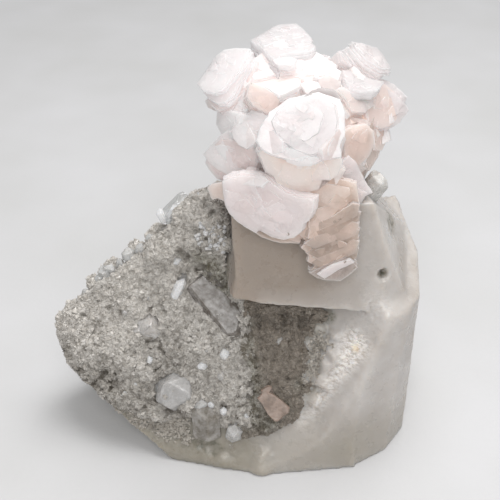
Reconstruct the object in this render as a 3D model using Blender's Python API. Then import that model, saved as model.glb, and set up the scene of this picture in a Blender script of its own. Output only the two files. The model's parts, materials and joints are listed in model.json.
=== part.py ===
"""A hand-sized mineral specimen: a rosette of pale pink calcite plates grown on milky quartz.

The quartz is three large crystals grown into one another, and its left face carries a crust of
fine grey crystals with a few larger clear ones on it. Tables are in millimetres, +Z up, with the
viewer on the -Y side; everything is turned into metres as it is built.
"""

import math
import random

import bmesh
import bpy
from mathutils import Matrix, Vector, noise

MM = 0.001
GAP = 0.3  # clear space between neighbours that touch, mm
BLOCK_SIZE = 240  # side of the cube that a faceted crystal is cut from, mm
CENTRE_X, CENTRE_Y = -3.16, 1.34  # middle of the whole specimen seen from above, mm

# The big quartz crystals, each as the flat faces that bound it: outward direction, point on face.
FRONT_CUT = ((0.11, -0.985, 0.10), (11, -23.6, 0))
LEFT_FACE = ((-0.145, -0.857, 0.495), (-13, -21, 2))
RIDGE_FACE = ((-0.503, 0.80, 0.30), (-42, -2.7, 25.2))
FLOOR = ((0, 0, -1), (0, 0, 0))

LEFT_CRYSTAL = [
    LEFT_FACE,
    RIDGE_FACE,
    FLOOR,
    FRONT_CUT,
    ((-0.218, -0.976, 0.02), (-5, -22.8, 0)),  # low front rim
    ((-0.66, -0.53, -0.53), (-26.2, -15.7, 7.2)),  # overhanging underside
    ((-0.50, 0.05, -0.866), (-20, 0, 0)),  # second underside face, behind
    ((-0.95, -0.22, -0.10), (-41.6, -4, 23)),  # blunt left tip
    ((-0.75, 0.1, 0.66), (-40.3, -1, 27.6)),  # shoulder above the tip
    ((0.96, 0.2, 0.1), (16, 0, 20)),
    ((0.1, 0.9, 0.4), (0, 14, 40)),
    ((0.20, 0.975, 0.08), (-6, 20.5, 0)),
    ((-0.1, -0.2, 0.97), (-6, 8, 56)),
]
RIGHT_CRYSTAL = [
    FLOOR,
    FRONT_CUT,
    ((0.52, -0.854, 0.05), (26, -19.6, 0)),  # two faces that round the front corner
    ((0.835, -0.549, 0.0), (32.2, -13.7, 0)),
    ((0.99, -0.05, -0.01), (35.2, 0, 15)),
    ((0.92, 0.1, 0.36), (35.6, 8, 39)),
    ((0.20, -0.93, 0.30), (24.5, -20, 24.7)),  # upper front face
    ((0.25, -0.38, 0.89), (32, 6, 45)),
    ((-0.50, -0.77, 0.41), (12, -13.5, 21)),  # wall that slopes into the pocket
    ((0.35, 0.93, 0.05), (24, 17, 20)),
    ((-0.98, 0.1, 0.1), (-2, 0, 10)),
    ((-0.25, 0.30, 0.92), (20, 8, 46)),
]
UPPER_CRYSTAL = [
    ((0.03, -0.963, 0.268), (-2, -14, 38.8)),  # broad smooth face over the pocket
    ((0.52, -0.82, 0.24), (27.0, -11.0, 46)),
    ((0.91, -0.22, 0.36), (29.6, -6, 46)),
    ((0.72, 0.20, 0.66), (27.5, 0, 52.5)),
    ((1, 0, 0), (34.6, 0, 42)),
    ((0.40, 0.85, 0.30), (24, 12, 48)),
    ((-0.095, -0.10, -0.99), (-2, -14, 38.8)),  # flat underside of the overhang
    ((-0.97, -0.12, 0.22), (-3, -13, 43)),
    ((-0.40, 0.90, 0.15), (5, 13, 50)),
    ((0.05, -0.10, 0.99), (10, 0, 60)),
]
BACK_CRYSTAL = [
    FLOOR,
    ((-0.12, 0.985, 0.12), (4, 21.5, 0)),
    ((0.60, 0.79, 0.10), (20, 17.5, 10)),
    ((-0.80, 0.58, 0.15), (-16, 15, 14)),
    ((-0.86, -0.30, -0.42), (-17, 2, 6)),
    ((0.98, 0.0, 0.2), (26, 5, 20)),
    ((0, -1, 0), (0, -9, 0)),
    (LEFT_FACE[0], (-13, -17, 2)),
    ((-0.35, 0.50, 0.79), (2, 12, 47)),
    ((0.40, 0.45, 0.80), (14, 12, 47)),
]

# A quartz point's blunt end, as shares of its radius: how long, and how far off the axis.
TIP_LENGTH, TIP_SHIFT = 0.75, 0.18
# Six-sided quartz points on the hidden sides: foot, direction, radius, length.
BACK_POINTS = [
    ((-6, 14, 12), (-0.55, 0.62, 0.56), 5.4, 17),
    ((20, 12, 14), (0.42, 0.74, 0.52), 6.2, 17),
    ((6, 15, 24), (-0.10, 0.80, 0.59), 4.6, 14),
    ((25, 7, 33), (0.36, 0.66, 0.66), 4.4, 12),
    ((-22, 4, 24), (-0.45, 0.80, 0.40), 3.6, 10),
]
SIDE_POINT = ((22.6, -2.6, 56.4), (0.50, -0.05, 0.86), 3.0, 7.2, 0.8)

# The grey crust lies on the left face. Outlines are on that face, measured right and up from
# its lowest front point, mm.
CRUST_OUTLINE = [
    (-31, 28), (-31.5, 23), (-27, 16), (-19, 10.6), (-12, 8.2), (-6, 7.6), (-1, 10), (4.5, 8),
    (9.2, 6.8), (9.2, 35.5), (6.2, 46), (3.2, 55), (0.5, 59.5), (-5, 55), (-12.6, 45.4), (-19, 39),
    (-27, 31.8),
]
LEDGE_OUTLINE = [
    (1.2, 59.5), (3.4, 54), (6.8, 46.4), (3.6, 44.6), (-0.4, 45.8), (-4.2, 45), (-7.6, 41.6),
    (-12.4, 41.0), (-12.2, 45.2), (-4.6, 55),
]
POCKET_OUTLINE = [
    (9.8, 6.0), (17, 7.4), (22.4, 11), (24.8, 19.5), (23.6, 27), (28, 36), (9.8, 36),
]
CRUST_THICKNESS, POCKET_THICKNESS = 0.9, 0.7
CRUST_SEED, POCKET_SEED = 3.0, 5.0
CRUST_RELIEF = 1.5  # from the hollows between lumps to their tops
LEDGE_HEIGHT = 2.6
LUMP_CELL = 1.7  # spacing of the points that shape the lumps
OUTLINE_DRAW = 12  # how far the outlines reach to both sides of the face

# Larger quartz crystals that stand on the crust: place on the left face (right, up, sunk),
# lean (right, up, out), radius, length, how far the six sides are squeezed.
CRUST_CRYSTALS = {
    "clear_quartz_large": ((-5.0, 15.0, 1.2), (0.10, -0.25, 0.96), 4.1, 5.6, 0.92),
    "clear_quartz_front": ((9.0, 7.0, 0.9), (0.10, -0.20, 0.97), 2.2, 4.6, 0.85),
    "clear_quartz_low": ((2.4, 11.6, 0.9), (-0.20, -0.15, 0.97), 2.1, 4.2, 0.80),
    "clear_quartz_ridge": ((-8.6, 48.8, -0.6), (0.26, 0.94, 0.20), 2.2, 7.4, 0.75),
    "clear_quartz_ridge_low": ((-20.6, 36.4, 0.2), (-0.50, 0.80, 0.33), 1.8, 4.2, 0.70),
    "grey_quartz_sunken": ((-10.8, 28.0, 1.4), (0.25, 0.15, 0.95), 4.2, 4.4, 0.80),
    "quartz_tablet": ((-5.6, 35.6, -0.3), (0.35, 0.92, 0.15), 1.7, 4.6, 0.60),
    "brown_quartz_low": ((3.4, 4.6, 1.6), (-0.06, 0.32, 0.94), 3.1, 6.2, 0.85),
    "quartz_lath": ((-0.4, 39.6, 1.1), (0.70, -0.70, 0.11), 2.9, 14.5, 0.75),
}

# A broken calcite plate that lies in the pocket: place and lean as above, half width, turn.
FLAKE = ((17.0, 13.6, -2.6), (0.18, 0.10, 0.97), 3.3, 35)
FLAKE_THICKNESS = 1.4

ROSETTE_HEART = (10.5, 4.5, 67.0)
ROSETTE_HEART_SIZE = (14.5, 13.8, 14.8)

# Stacks of calcite plates: outer plate's middle, the way the stack faces (azimuth right of the
# viewer, elevation), half width, half height, turn of the outline, depth of the stack, plates,
# and how far each plate inwards slides to the right and up.
PLATE_STACKS = [
    ("brow", (6.5, 8.1, 85.6), (-8, 84), 6.4, 6.0, 8, 7.5, 4, (0.6, -0.5)),
    ("brow_right", (14.7, 1.2, 80.8), (25, 60), 4.8, 4.0, 20, 5.0, 3, (0, -0.3)),
    ("hood", (6.1, -3.6, 80.9), (-10, 62), 3.6, 3.2, 0, 4.0, 3, (0.2, -0.2)),
    ("face", (9.6, -13.9, 78.2), (0, 30), 5.9, 5.5, 12, 3.0, 2, (0, -0.5)),
    ("collar", (9.7, -12.2, 74.8), (2, 24), 8.0, 7.6, 35, 4.5, 3, (0.2, -0.3)),
    ("bib", (9.2, -12.4, 69.6), (0, 8), 8.4, 7.0, 20, 5.5, 3, (0, 0)),
    ("chin", (1.9, -15.6, 61.4), (-16, -4), 8.2, 7.2, 25, 7.0, 4, (0.5, 0.3)),
    ("jaw", (-5.2, -5.0, 67.6), (-40, 6), 6.0, 5.8, 5, 7.0, 4, (0.2, 0)),
    ("jaw_low", (-4.0, -6.4, 62.6), (-48, -12), 5.2, 4.6, 50, 6.5, 3, (0.4, 0.4)),
    ("cheek", (0.6, -8.0, 74.7), (-35, 30), 3.9, 3.7, 30, 5.0, 3, (0, -0.2)),
    ("wing_left", (-7.2, 3.7, 80.6), (-86, 42), 6.4, 5.4, -12, 8.0, 5, (0, -0.4)),
    ("wing_left_low", (-7.0, 3.6, 74.4), (-80, 18), 5.2, 4.6, 15, 7.5, 3, (0, 0)),
    ("temple_left", (-0.6, -1.8, 78.0), (-38, 54), 4.4, 3.8, 0, 5.0, 3, (0, 0)),
    ("horn_right", (24.0, 8.2, 81.8), (90, 48), 5.8, 5.0, 15, 7.5, 5, (0, -0.4)),
    ("shelf_right", (21.0, 1.9, 79.9), (60, 78), 4.0, 3.7, 0, 4.0, 2, (0.3, -0.3)),
    ("fan_right", (28.0, 6.0, 73.0), (46, 18), 5.8, 5.6, 25, 6.0, 4, (0, 0)),
    ("flank_up", (20.4, -1.6, 76.4), (62, 32), 3.8, 4.4, 45, 6.0, 3, (0, -0.3)),
    ("flank_mid", (20.2, -4.0, 72.9), (46, 18), 4.0, 3.4, 20, 6.0, 3, (0, 0)),
    ("flank_low", (23.6, -0.8, 68.6), (54, 2), 5.2, 5.4, 10, 7.5, 4, (0.3, 0)),
    ("skirt", (19.7, -8.1, 64.4), (30, -4), 4.4, 4.0, 40, 5.5, 3, (0, 0)),
    ("cascade_top", (15.6, -12.7, 61.2), (14, -8), 6.2, 5.6, 30, 6.0, 3, (0, 0.5)),
    ("cascade_mid", (15.4, -14.9, 56.2), (16, -14), 6.0, 4.8, 5, 5.5, 4, (0.2, 0.8)),
    ("cascade_low", (15.0, -15.9, 52.6), (14, -12), 5.4, 4.0, 20, 4.5, 3, (0.3, 1.0)),
    ("cascade_tip", (15.4, -16.6, 49.4), (12, -6), 4.8, 2.7, 2, 3.0, 2, (0.2, 0.8)),
]
HIDDEN_STACKS = 15  # plates round the back follow a rule
HIDDEN_SEED = 11
PLATE_EDGE = 0.84  # width of a plate's flat face as a share of its widest part
PLATE_OVERLAP = 1.2  # thickness of a plate as a share of the step between plates
PLATE_SWELL = 0.07  # each plate inwards is wider by this share of the outer one
PLATE_DRIFT = 0.45  # most that a plate lies off its stack's line, mm
PLATE_TWIST = 8  # most that a plate is turned, degrees
GOLDEN_TURN = math.radians(137.5)


def material(name, colour, roughness, alpha=1.0):
    made = bpy.data.materials.new(name)
    made.use_nodes = True
    shader = made.node_tree.nodes["Principled BSDF"]
    shader.inputs["Base Color"].default_value = (*colour, 1)
    shader.inputs["Roughness"].default_value = roughness
    shader.inputs["Metallic"].default_value = 0.0
    shader.inputs["Alpha"].default_value = alpha
    return made


def collection(name, parent=None):
    made = bpy.data.collections.new(name)
    (parent or bpy.context.scene.collection).children.link(made)
    return made


def add_object(name, shape, into, look=None):
    """Turns a bmesh in millimetres into an object in metres."""
    mesh = bpy.data.meshes.new(name)
    shape.normal_update()
    bmesh.ops.recalc_face_normals(shape, faces=shape.faces)
    shape.to_mesh(mesh)
    shape.free()
    shift = Matrix.Translation((-CENTRE_X * MM, -CENTRE_Y * MM, 0))
    mesh.transform(shift @ Matrix.Scale(MM, 4))
    made = bpy.data.objects.new(name, mesh)
    into.objects.link(made)
    if look:
        mesh.materials.append(look)
    return made


def as_helper(obj):
    obj.hide_render = True
    obj.display_type = "WIRE"
    return obj


def combine(obj, other, operation):
    """Adds a Boolean with one object, or with all of a collection's."""
    modifier = obj.modifiers.new(operation.lower(), "BOOLEAN")
    modifier.operation = operation
    if isinstance(other, bpy.types.Collection):
        modifier.operand_type = "COLLECTION"
        modifier.collection = other
    else:
        modifier.object = other
    return modifier


def cut_flat(shape, direction, point):
    """Cuts a bmesh along a plane, drops what is outside and closes the cut."""
    cut = bmesh.ops.bisect_plane(
        shape,
        geom=shape.verts[:] + shape.edges[:] + shape.faces[:],
        dist=1e-5,
        plane_co=point,
        plane_no=direction,
        clear_outer=True,
    )
    rim = [piece for piece in cut["geom_cut"] if isinstance(piece, bmesh.types.BMEdge)]
    if rim:
        bmesh.ops.holes_fill(shape, edges=rim)


def faceted_block(faces, grow=0.0):
    """A convex crystal, cut from a cube by its faces. It can be grown evenly for a clearance."""
    shape = bmesh.new()
    bmesh.ops.create_cube(shape, size=BLOCK_SIZE)
    for direction, point in faces:
        outward = Vector(direction).normalized()
        level = 0.0 if (direction, point) == FLOOR else grow
        cut_flat(shape, outward, Vector(point) + outward * level)
    return shape


def frame_on(direction, turn=0.0):
    """A rotation whose Z runs along the direction."""
    aim = Vector(direction).normalized()
    return aim.to_track_quat("Z", "Y").to_matrix().to_4x4() @ Matrix.Rotation(turn, 4, "Z")


def quartz_point(foot, direction, radius, length, squeeze=1.0, grow=0.0, turn=0.0):
    """A six-sided prism that ends in a blunt six-sided pyramid."""
    shape = bmesh.new()
    radius += grow
    length += 2 * grow
    tip = radius * TIP_LENGTH
    body = length - tip
    bmesh.ops.create_cone(
        shape, cap_ends=True, segments=6, radius1=radius, radius2=radius, depth=body
    )
    top = max(shape.faces, key=lambda face: face.calc_center_median().z)
    peak = bmesh.ops.poke(shape, faces=[top])["verts"][0]
    peak.co.z += tip
    peak.co.x += radius * TIP_SHIFT
    stand = Matrix.Translation(Vector(foot)) @ frame_on(direction, turn)
    lift = Matrix.Translation((0, 0, body / 2 - grow))
    shape.transform(stand @ Matrix.Diagonal((1, squeeze, 1, 1)) @ lift)
    return shape


def left_face_frame():
    """Right, up and out along the left crystal's front face, from its lowest front point."""
    out = Vector(LEFT_FACE[0]).normalized()
    up = (Vector((0, 0, 1)) - out * out.z).normalized()
    right = up.cross(out)
    frame = Matrix((right, up, out)).transposed().to_4x4()
    return Matrix.Translation(LEFT_FACE[1]) @ frame


def on_left_face(place, lean):
    """World place and direction of something that stands on the left face."""
    frame = left_face_frame()
    right, up, sunk = place
    return frame @ Vector((right, up, -sunk)), frame.to_3x3() @ Vector(lean)


def lump_height(x, y, seed):
    """Height of the crust's lumps, from 0 to about 1."""
    coarse = noise.noise(Vector((x * 0.16, y * 0.16, seed)))
    middle = noise.noise(Vector((x * 0.45, y * 0.45, seed + 9)))
    return 0.5 + 0.55 * coarse + 0.35 * middle


def is_inside(outline, x, y):
    """Whether a point lies inside a closed outline, by counting the edges to its right."""
    inside = False
    for (x1, y1), (x2, y2) in zip(outline, outline[1:] + outline[:1]):
        if (y1 > y) != (y2 > y) and x < x1 + (y - y1) * (x2 - x1) / (y2 - y1):
            inside = not inside
    return inside


def crust_sheet(frame, outline, thickness, seed, ledge=()):
    """A lumpy sheet with a flat back, a gap above the face that it grows on."""
    xs, ys = [p[0] for p in outline], [p[1] for p in outline]
    wide, tall = max(xs) - min(xs) + 4, max(ys) - min(ys) + 4
    shape = bmesh.new()
    columns, rows = round(wide / LUMP_CELL), round(tall / LUMP_CELL)
    bmesh.ops.create_grid(shape, x_segments=columns, y_segments=rows, size=0.5)
    middle = Vector(((max(xs) + min(xs)) / 2, (max(ys) + min(ys)) / 2, 0))
    shape.transform(Matrix.Translation(middle) @ Matrix.Diagonal((wide, tall, 1, 1)))
    top = shape.faces[:]
    back = bmesh.ops.extrude_face_region(shape, geom=top)["geom"]
    for vert in shape.verts:
        x, y = vert.co.x, vert.co.y
        raised = LEDGE_HEIGHT if is_inside(ledge, x, y) else 0
        vert.co.z = thickness + raised + CRUST_RELIEF * lump_height(x, y, seed)
    for vert in (piece for piece in back if isinstance(piece, bmesh.types.BMVert)):
        vert.co.z = GAP
    bmesh.ops.dissolve_faces(
        shape, faces=[piece for piece in back if isinstance(piece, bmesh.types.BMFace)]
    )
    shape.transform(frame)
    return shape


def outline_block(name, frame, outline, helpers):
    """The outline drawn out to both sides of its plane, as a mesh to trim a sheet with."""
    curve = bpy.data.curves.new(name, "CURVE")
    curve.dimensions = "2D"
    curve.fill_mode = "BOTH"
    curve.extrude = OUTLINE_DRAW
    line = curve.splines.new("POLY")
    line.points.add(len(outline) - 1)
    for point, (x, y) in zip(line.points, outline):
        point.co = (x, y, 0, 1)
    line.use_cyclic_u = True
    drawn = bpy.data.objects.new(name, curve)
    helpers.objects.link(drawn)
    bpy.context.view_layer.update()
    graph = bpy.context.evaluated_depsgraph_get()
    mesh = bpy.data.meshes.new_from_object(drawn.evaluated_get(graph))
    bpy.data.objects.remove(drawn)
    shape = bmesh.new()
    shape.from_mesh(mesh)
    bmesh.ops.remove_doubles(shape, verts=shape.verts, dist=1e-4)
    shape.transform(frame)
    return as_helper(add_object(name, shape, helpers))


def plate(radii, thickness):
    """One calcite plate: an uneven hexagon, thickest at mid height, with slanted edges."""
    shape = bmesh.new()
    bmesh.ops.create_cone(
        shape,
        cap_ends=True,
        segments=6,
        radius1=1.0,
        radius2=PLATE_EDGE,
        depth=thickness / 2,
    )
    bmesh.ops.translate(shape, verts=shape.verts, vec=(0, 0, thickness / 4))
    low = min(shape.faces, key=lambda face: face.calc_center_median().z)
    bmesh.ops.delete(shape, geom=[low], context="FACES_ONLY")
    bmesh.ops.mirror(
        shape, geom=shape.verts[:] + shape.edges[:] + shape.faces[:], axis="Z", merge_dist=1e-4
    )
    for vert in shape.verts:
        corner = round(math.atan2(vert.co.y, vert.co.x) / math.radians(60)) % 6
        vert.co.x *= radii[corner]
        vert.co.y *= radii[corner]
    return shape


def plate_stack(name, middle, facing, half_width, half_height, turn, depth, plates, slide, into):
    """A stack of plates that widens inwards, each a little out of line with the last."""
    dice = random.Random(name)
    azimuth, elevation = (math.radians(angle) for angle in facing)
    aim = Vector((
        math.sin(azimuth) * math.cos(elevation),
        -math.cos(azimuth) * math.cos(elevation),
        math.sin(elevation),
    ))
    stand = Matrix.Translation(Vector(middle)) @ frame_on(aim)
    spin = Matrix.Rotation(math.radians(turn), 4, "Z")
    radii = [half_width * dice.uniform(0.88, 1.06) for _ in range(6)]
    step = depth / plates
    for layer in range(plates):
        swell = 1 + PLATE_SWELL * layer
        shape = plate([radius * swell for radius in radii], step * PLATE_OVERLAP)
        shape.transform(Matrix.Diagonal((1, half_height / half_width, 1, 1)) @ spin)
        across = slide[0] * layer + dice.uniform(-PLATE_DRIFT, PLATE_DRIFT)
        along = slide[1] * layer + dice.uniform(-PLATE_DRIFT, PLATE_DRIFT)
        twist = Matrix.Rotation(math.radians(dice.uniform(-PLATE_TWIST, PLATE_TWIST)), 4, "Z")
        shape.transform(stand @ Matrix.Translation((across, along, -step * (layer + 0.6))) @ twist)
        as_helper(add_object(f"{name}_{layer}", shape, into))


def hidden_stacks():
    """The stacks on the back of the rosette, spread evenly by the golden turn."""
    dice = random.Random(HIDDEN_SEED)
    heart = Vector(ROSETTE_HEART)
    for index in range(HIDDEN_STACKS):
        azimuth = 180 + 80 * math.sin(index * GOLDEN_TURN)
        elevation = 62 - 88 * (index + 0.5) / HIDDEN_STACKS
        reach = dice.uniform(15.5, 18.5)
        a, e = math.radians(azimuth), math.radians(elevation)
        away = Vector((math.sin(a) * math.cos(e), -math.cos(a) * math.cos(e), math.sin(e)))
        middle = heart + away * reach
        facing = (azimuth + dice.uniform(-22, 22), elevation + dice.uniform(-16, 18))
        width = dice.uniform(4.6, 6.4)
        height = width * dice.uniform(0.78, 1.0)
        yield f"back_{index}", middle, facing, width, height, index * 37, 7.0, 3, (0, 0)


def build_milky_quartz(look, specimen, helpers):
    points = collection("quartz_points", helpers)
    for index, (foot, direction, radius, length) in enumerate(BACK_POINTS):
        shape = quartz_point(foot, direction, radius, length, turn=index * 0.5)
        as_helper(add_object(f"back_point_{index}", shape, points))
    for name, faces in (("right", RIGHT_CRYSTAL), ("upper", UPPER_CRYSTAL), ("back", BACK_CRYSTAL)):
        as_helper(add_object(f"{name}_crystal", faceted_block(faces), points))
    quartz = add_object("milky_quartz", faceted_block(LEFT_CRYSTAL), specimen, look)
    combine(quartz, points, "UNION")


def build_clearance(helpers):
    """The quartz grown by the gap, to cut out of what lies against it."""
    pieces = collection("clearance_pieces", helpers)
    for name, faces in (("right", RIGHT_CRYSTAL), ("upper", UPPER_CRYSTAL), ("back", BACK_CRYSTAL)):
        as_helper(add_object(f"{name}_clear", faceted_block(faces, GAP), pieces))
    for index, (foot, direction, radius, length) in enumerate(BACK_POINTS):
        shape = quartz_point(foot, direction, radius, length, grow=GAP, turn=index * 0.5)
        as_helper(add_object(f"back_point_clear_{index}", shape, pieces))
    clearance = as_helper(add_object("clearance", faceted_block(LEFT_CRYSTAL, GAP), helpers))
    combine(clearance, pieces, "UNION")
    return clearance


def build_small_crystals(looks, specimen, helpers, clearance):
    """The larger crystals on the crust, and the room that the crust leaves round them."""
    room = collection("crystal_room", helpers)
    for index, (name, (place, lean, radius, length, squeeze)) in enumerate(CRUST_CRYSTALS.items()):
        foot, direction = on_left_face(place, lean)
        turn = index * 0.35
        look = looks["clear"] if name.startswith("clear") else looks["grey"]
        shape = quartz_point(foot, direction, radius, length, squeeze, turn=turn)
        combine(add_object(name, shape, specimen, look), clearance, "DIFFERENCE")
        grown = quartz_point(foot, direction, radius, length, squeeze, GAP, turn)
        as_helper(add_object(f"{name}_room", grown, room))
    return room


def flake_shape(grow=0.0):
    place, lean, half_width, turn = FLAKE
    middle, direction = on_left_face(place, lean)
    shape = plate([half_width + grow] * 6, FLAKE_THICKNESS + 2 * grow)
    stand = Matrix.Translation(middle) @ frame_on(direction, math.radians(turn))
    shape.transform(stand @ Matrix.Diagonal((1, 0.8, 1, 1)))
    return shape


def build_rosette(looks, specimen, helpers, clearance):
    stacks = collection("calcite_plates", helpers)
    for stack in PLATE_STACKS:
        plate_stack(*stack, stacks)
    for stack in hidden_stacks():
        plate_stack(*stack, stacks)
    heart = bmesh.new()
    bmesh.ops.create_icosphere(heart, subdivisions=2, radius=1)
    heart.transform(Matrix.Translation(ROSETTE_HEART) @ Matrix.Diagonal((*ROSETTE_HEART_SIZE, 1)))
    rosette = add_object("calcite_rosette", heart, specimen, looks["calcite"])
    combine(rosette, stacks, "UNION")
    combine(rosette, clearance, "DIFFERENCE")

    foot, direction, radius, length, squeeze = SIDE_POINT
    shape = quartz_point(foot, direction, radius, length, squeeze)
    side = add_object("clear_quartz_side", shape, specimen, looks["clear"])
    combine(side, clearance, "DIFFERENCE")
    grown = quartz_point(foot, direction, radius, length, squeeze, GAP)
    side_room = as_helper(add_object("side_room", grown, helpers))
    combine(rosette, side_room, "DIFFERENCE")


def build_crust(looks, specimen, helpers, clearance, room):
    frame = left_face_frame()
    sheet = crust_sheet(frame, CRUST_OUTLINE, CRUST_THICKNESS, CRUST_SEED, LEDGE_OUTLINE)
    crust = add_object("druse_crust", sheet, specimen, looks["crust"])
    combine(crust, outline_block("crust_outline", frame, CRUST_OUTLINE, helpers), "INTERSECT")
    combine(crust, clearance, "DIFFERENCE")
    # The exact solver leaves open edges where so many small cutters meet the lumps.
    combine(crust, room, "DIFFERENCE").solver = "MANIFOLD"

    sheet = crust_sheet(frame, POCKET_OUTLINE, POCKET_THICKNESS, POCKET_SEED)
    pocket = add_object("pocket_druse", sheet, specimen, looks["pocket"])
    combine(pocket, outline_block("pocket_outline", frame, POCKET_OUTLINE, helpers), "INTERSECT")
    combine(pocket, clearance, "DIFFERENCE")
    combine(pocket, room, "DIFFERENCE").solver = "MANIFOLD"
    flake = add_object("calcite_flake", flake_shape(), specimen, looks["flake"])
    combine(flake, clearance, "DIFFERENCE")
    combine(pocket, as_helper(add_object("flake_room", flake_shape(GAP), helpers)), "DIFFERENCE")


def clear_scene():
    for obj in list(bpy.data.objects):
        bpy.data.objects.remove(obj, do_unlink=True)


def main():
    clear_scene()
    specimen = collection("calcite_on_quartz")
    helpers = collection("helpers")
    looks = {
        "quartz": material("milky_quartz", (0.72, 0.70, 0.66), 0.35),
        "grey": material("grey_quartz", (0.62, 0.62, 0.60), 0.3),
        "clear": material("clear_quartz", (0.86, 0.88, 0.88), 0.08, 0.5),
        "crust": material("druse", (0.47, 0.45, 0.41), 0.8),
        "pocket": material("pocket_druse", (0.28, 0.25, 0.21), 0.85),
        "calcite": material("pink_calcite", (0.90, 0.80, 0.76), 0.4),
        "flake": material("tan_calcite", (0.66, 0.50, 0.42), 0.5),
    }
    build_milky_quartz(looks["quartz"], specimen, helpers)
    clearance = build_clearance(helpers)
    room = build_small_crystals(looks, specimen, helpers, clearance)
    build_rosette(looks, specimen, helpers, clearance)
    build_crust(looks, specimen, helpers, clearance, room)


main()
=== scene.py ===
import json
import math
import random

import bmesh
import bpy
import numpy as np
from mathutils import Matrix, Vector, noise

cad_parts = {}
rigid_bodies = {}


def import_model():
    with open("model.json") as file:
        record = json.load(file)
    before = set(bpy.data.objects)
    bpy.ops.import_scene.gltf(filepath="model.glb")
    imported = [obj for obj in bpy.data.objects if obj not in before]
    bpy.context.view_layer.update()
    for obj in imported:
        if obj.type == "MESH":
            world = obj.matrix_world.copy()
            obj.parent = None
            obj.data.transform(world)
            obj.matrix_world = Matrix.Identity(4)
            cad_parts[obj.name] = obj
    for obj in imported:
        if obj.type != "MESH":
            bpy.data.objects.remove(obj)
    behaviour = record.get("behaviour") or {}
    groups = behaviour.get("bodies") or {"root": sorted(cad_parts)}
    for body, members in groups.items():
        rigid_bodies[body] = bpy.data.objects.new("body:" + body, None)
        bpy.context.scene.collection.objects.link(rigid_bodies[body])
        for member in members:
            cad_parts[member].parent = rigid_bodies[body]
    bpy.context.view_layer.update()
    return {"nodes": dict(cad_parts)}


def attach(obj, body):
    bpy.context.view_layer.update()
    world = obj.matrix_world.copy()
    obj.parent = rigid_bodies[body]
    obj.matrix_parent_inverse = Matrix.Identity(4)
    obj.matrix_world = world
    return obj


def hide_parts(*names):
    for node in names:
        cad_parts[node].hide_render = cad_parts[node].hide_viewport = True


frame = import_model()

mm = 0.001
tablesOrigin = (3.16, -1.34, 0)      # where the tables' origin lies in the frame, mm
tablesToFrame = Matrix.Scale(mm, 4) @ Matrix.Translation(tablesOrigin)
frameToTables = tablesToFrame.inverted()
scene = bpy.context.scene
print("frame loaded:", len(frame["nodes"]), "nodes")


# Mesh helpers. Tables and shapes are in millimetres, +Z up, with the viewer on the -Y side.

def addObject(name, shape, home=None):
    shape.normal_update()
    bmesh.ops.recalc_face_normals(shape, faces=shape.faces)
    if shape.calc_volume(signed=True) < 0:
        bmesh.ops.reverse_faces(shape, faces=shape.faces)
    mesh = bpy.data.meshes.new(name)
    shape.to_mesh(mesh)
    shape.free()
    mesh.transform(tablesToFrame)
    obj = bpy.data.objects.new(name, mesh)
    (home or scene.collection).objects.link(obj)
    return obj


def newGroup(name):
    group = bpy.data.collections.new(name)
    scene.collection.children.link(group)
    return group


def applyModifiers(obj):
    graph = bpy.context.evaluated_depsgraph_get()
    mesh = bpy.data.meshes.new_from_object(obj.evaluated_get(graph))
    obj.modifiers.clear()
    obj.data = mesh
    mesh.name = obj.name


def growTogether(obj, others):
    # joins a closed mesh and a collection of closed meshes into one
    modifier = obj.modifiers.new("grown together", "BOOLEAN")
    modifier.operation = "UNION"
    modifier.solver = "MANIFOLD"
    modifier.operand_type = "COLLECTION"
    modifier.collection = others
    applyModifiers(obj)
    for other in list(others.objects):
        bpy.data.objects.remove(other)
    bpy.data.collections.remove(others)
    return obj


def shapeOfNode(node):
    # a merged copy of a CAD node, in the tables' millimetres
    shape = bmesh.new()
    shape.from_mesh(frame["nodes"][node].data)
    shape.transform(frameToTables)
    bmesh.ops.remove_doubles(shape, verts=shape.verts, dist=1e-4)
    flatAngle = math.radians(0.5)
    bmesh.ops.dissolve_limit(shape, angle_limit=flatAngle, verts=shape.verts, edges=shape.edges)
    return shape


def remesh(obj, size):
    modifier = obj.modifiers.new("remesh", "REMESH")
    modifier.mode = "VOXEL"
    modifier.voxel_size = size * mm
    applyModifiers(obj)


def pointsOf(obj):
    # points and normals of a mesh as arrays, the points in the tables' millimetres
    count = len(obj.data.vertices)
    points, normals = np.empty(count * 3, np.float32), np.empty(count * 3, np.float32)
    obj.data.vertices.foreach_get("co", points)
    obj.data.vertices.foreach_get("normal", normals)
    turn = np.array(frameToTables)
    return points.reshape(-1, 3) @ turn[:3, :3].T + turn[:3, 3], normals.reshape(-1, 3)


def setPoints(obj, points):
    turn = np.array(tablesToFrame)
    moved = points @ turn[:3, :3].T + turn[:3, 3]
    obj.data.vertices.foreach_set("co", moved.astype(np.float32).ravel())
    obj.data.update()


def storeValue(obj, name, values):
    layer = obj.data.attributes.get(name) or obj.data.attributes.new(name, "FLOAT", "POINT")
    layer.data.foreach_set("value", np.asarray(values, np.float32))


def ripple(points, size, seed=0.0):
    # smooth noise from -1 to 1 at every point, with features about this many millimetres wide
    shift = Vector((seed, seed * 0.7, -seed))
    return np.array([noise.noise(Vector(p) / size + shift) for p in points])


def chips(points, size, seed=0.0):
    # small flat facets: each cell of a Voronoi pattern leans its own way
    heights = np.empty(len(points))
    for index, point in enumerate(points):
        place = Vector(point) / size + Vector((seed, seed, seed))
        centres = noise.voronoi(place)[1]
        lean = noise.cell_vector(centres[0] * 7.3) - Vector((0.5, 0.5, 0.5))
        heights[index] = (place - centres[0]).dot(lean)
    return heights


def near(points, centre, reach):
    # 1 at the centre, falling smoothly to 0 at the reach
    distance = np.linalg.norm(points - np.array(centre), axis=1)
    share = np.clip(1 - distance / reach, 0, 1)
    return share * share * (3 - 2 * share)


def between(values, start, end):
    # 0 at the start, rising evenly to 1 at the end
    return np.clip((values - start) / (end - start), 0, 1)


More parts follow.
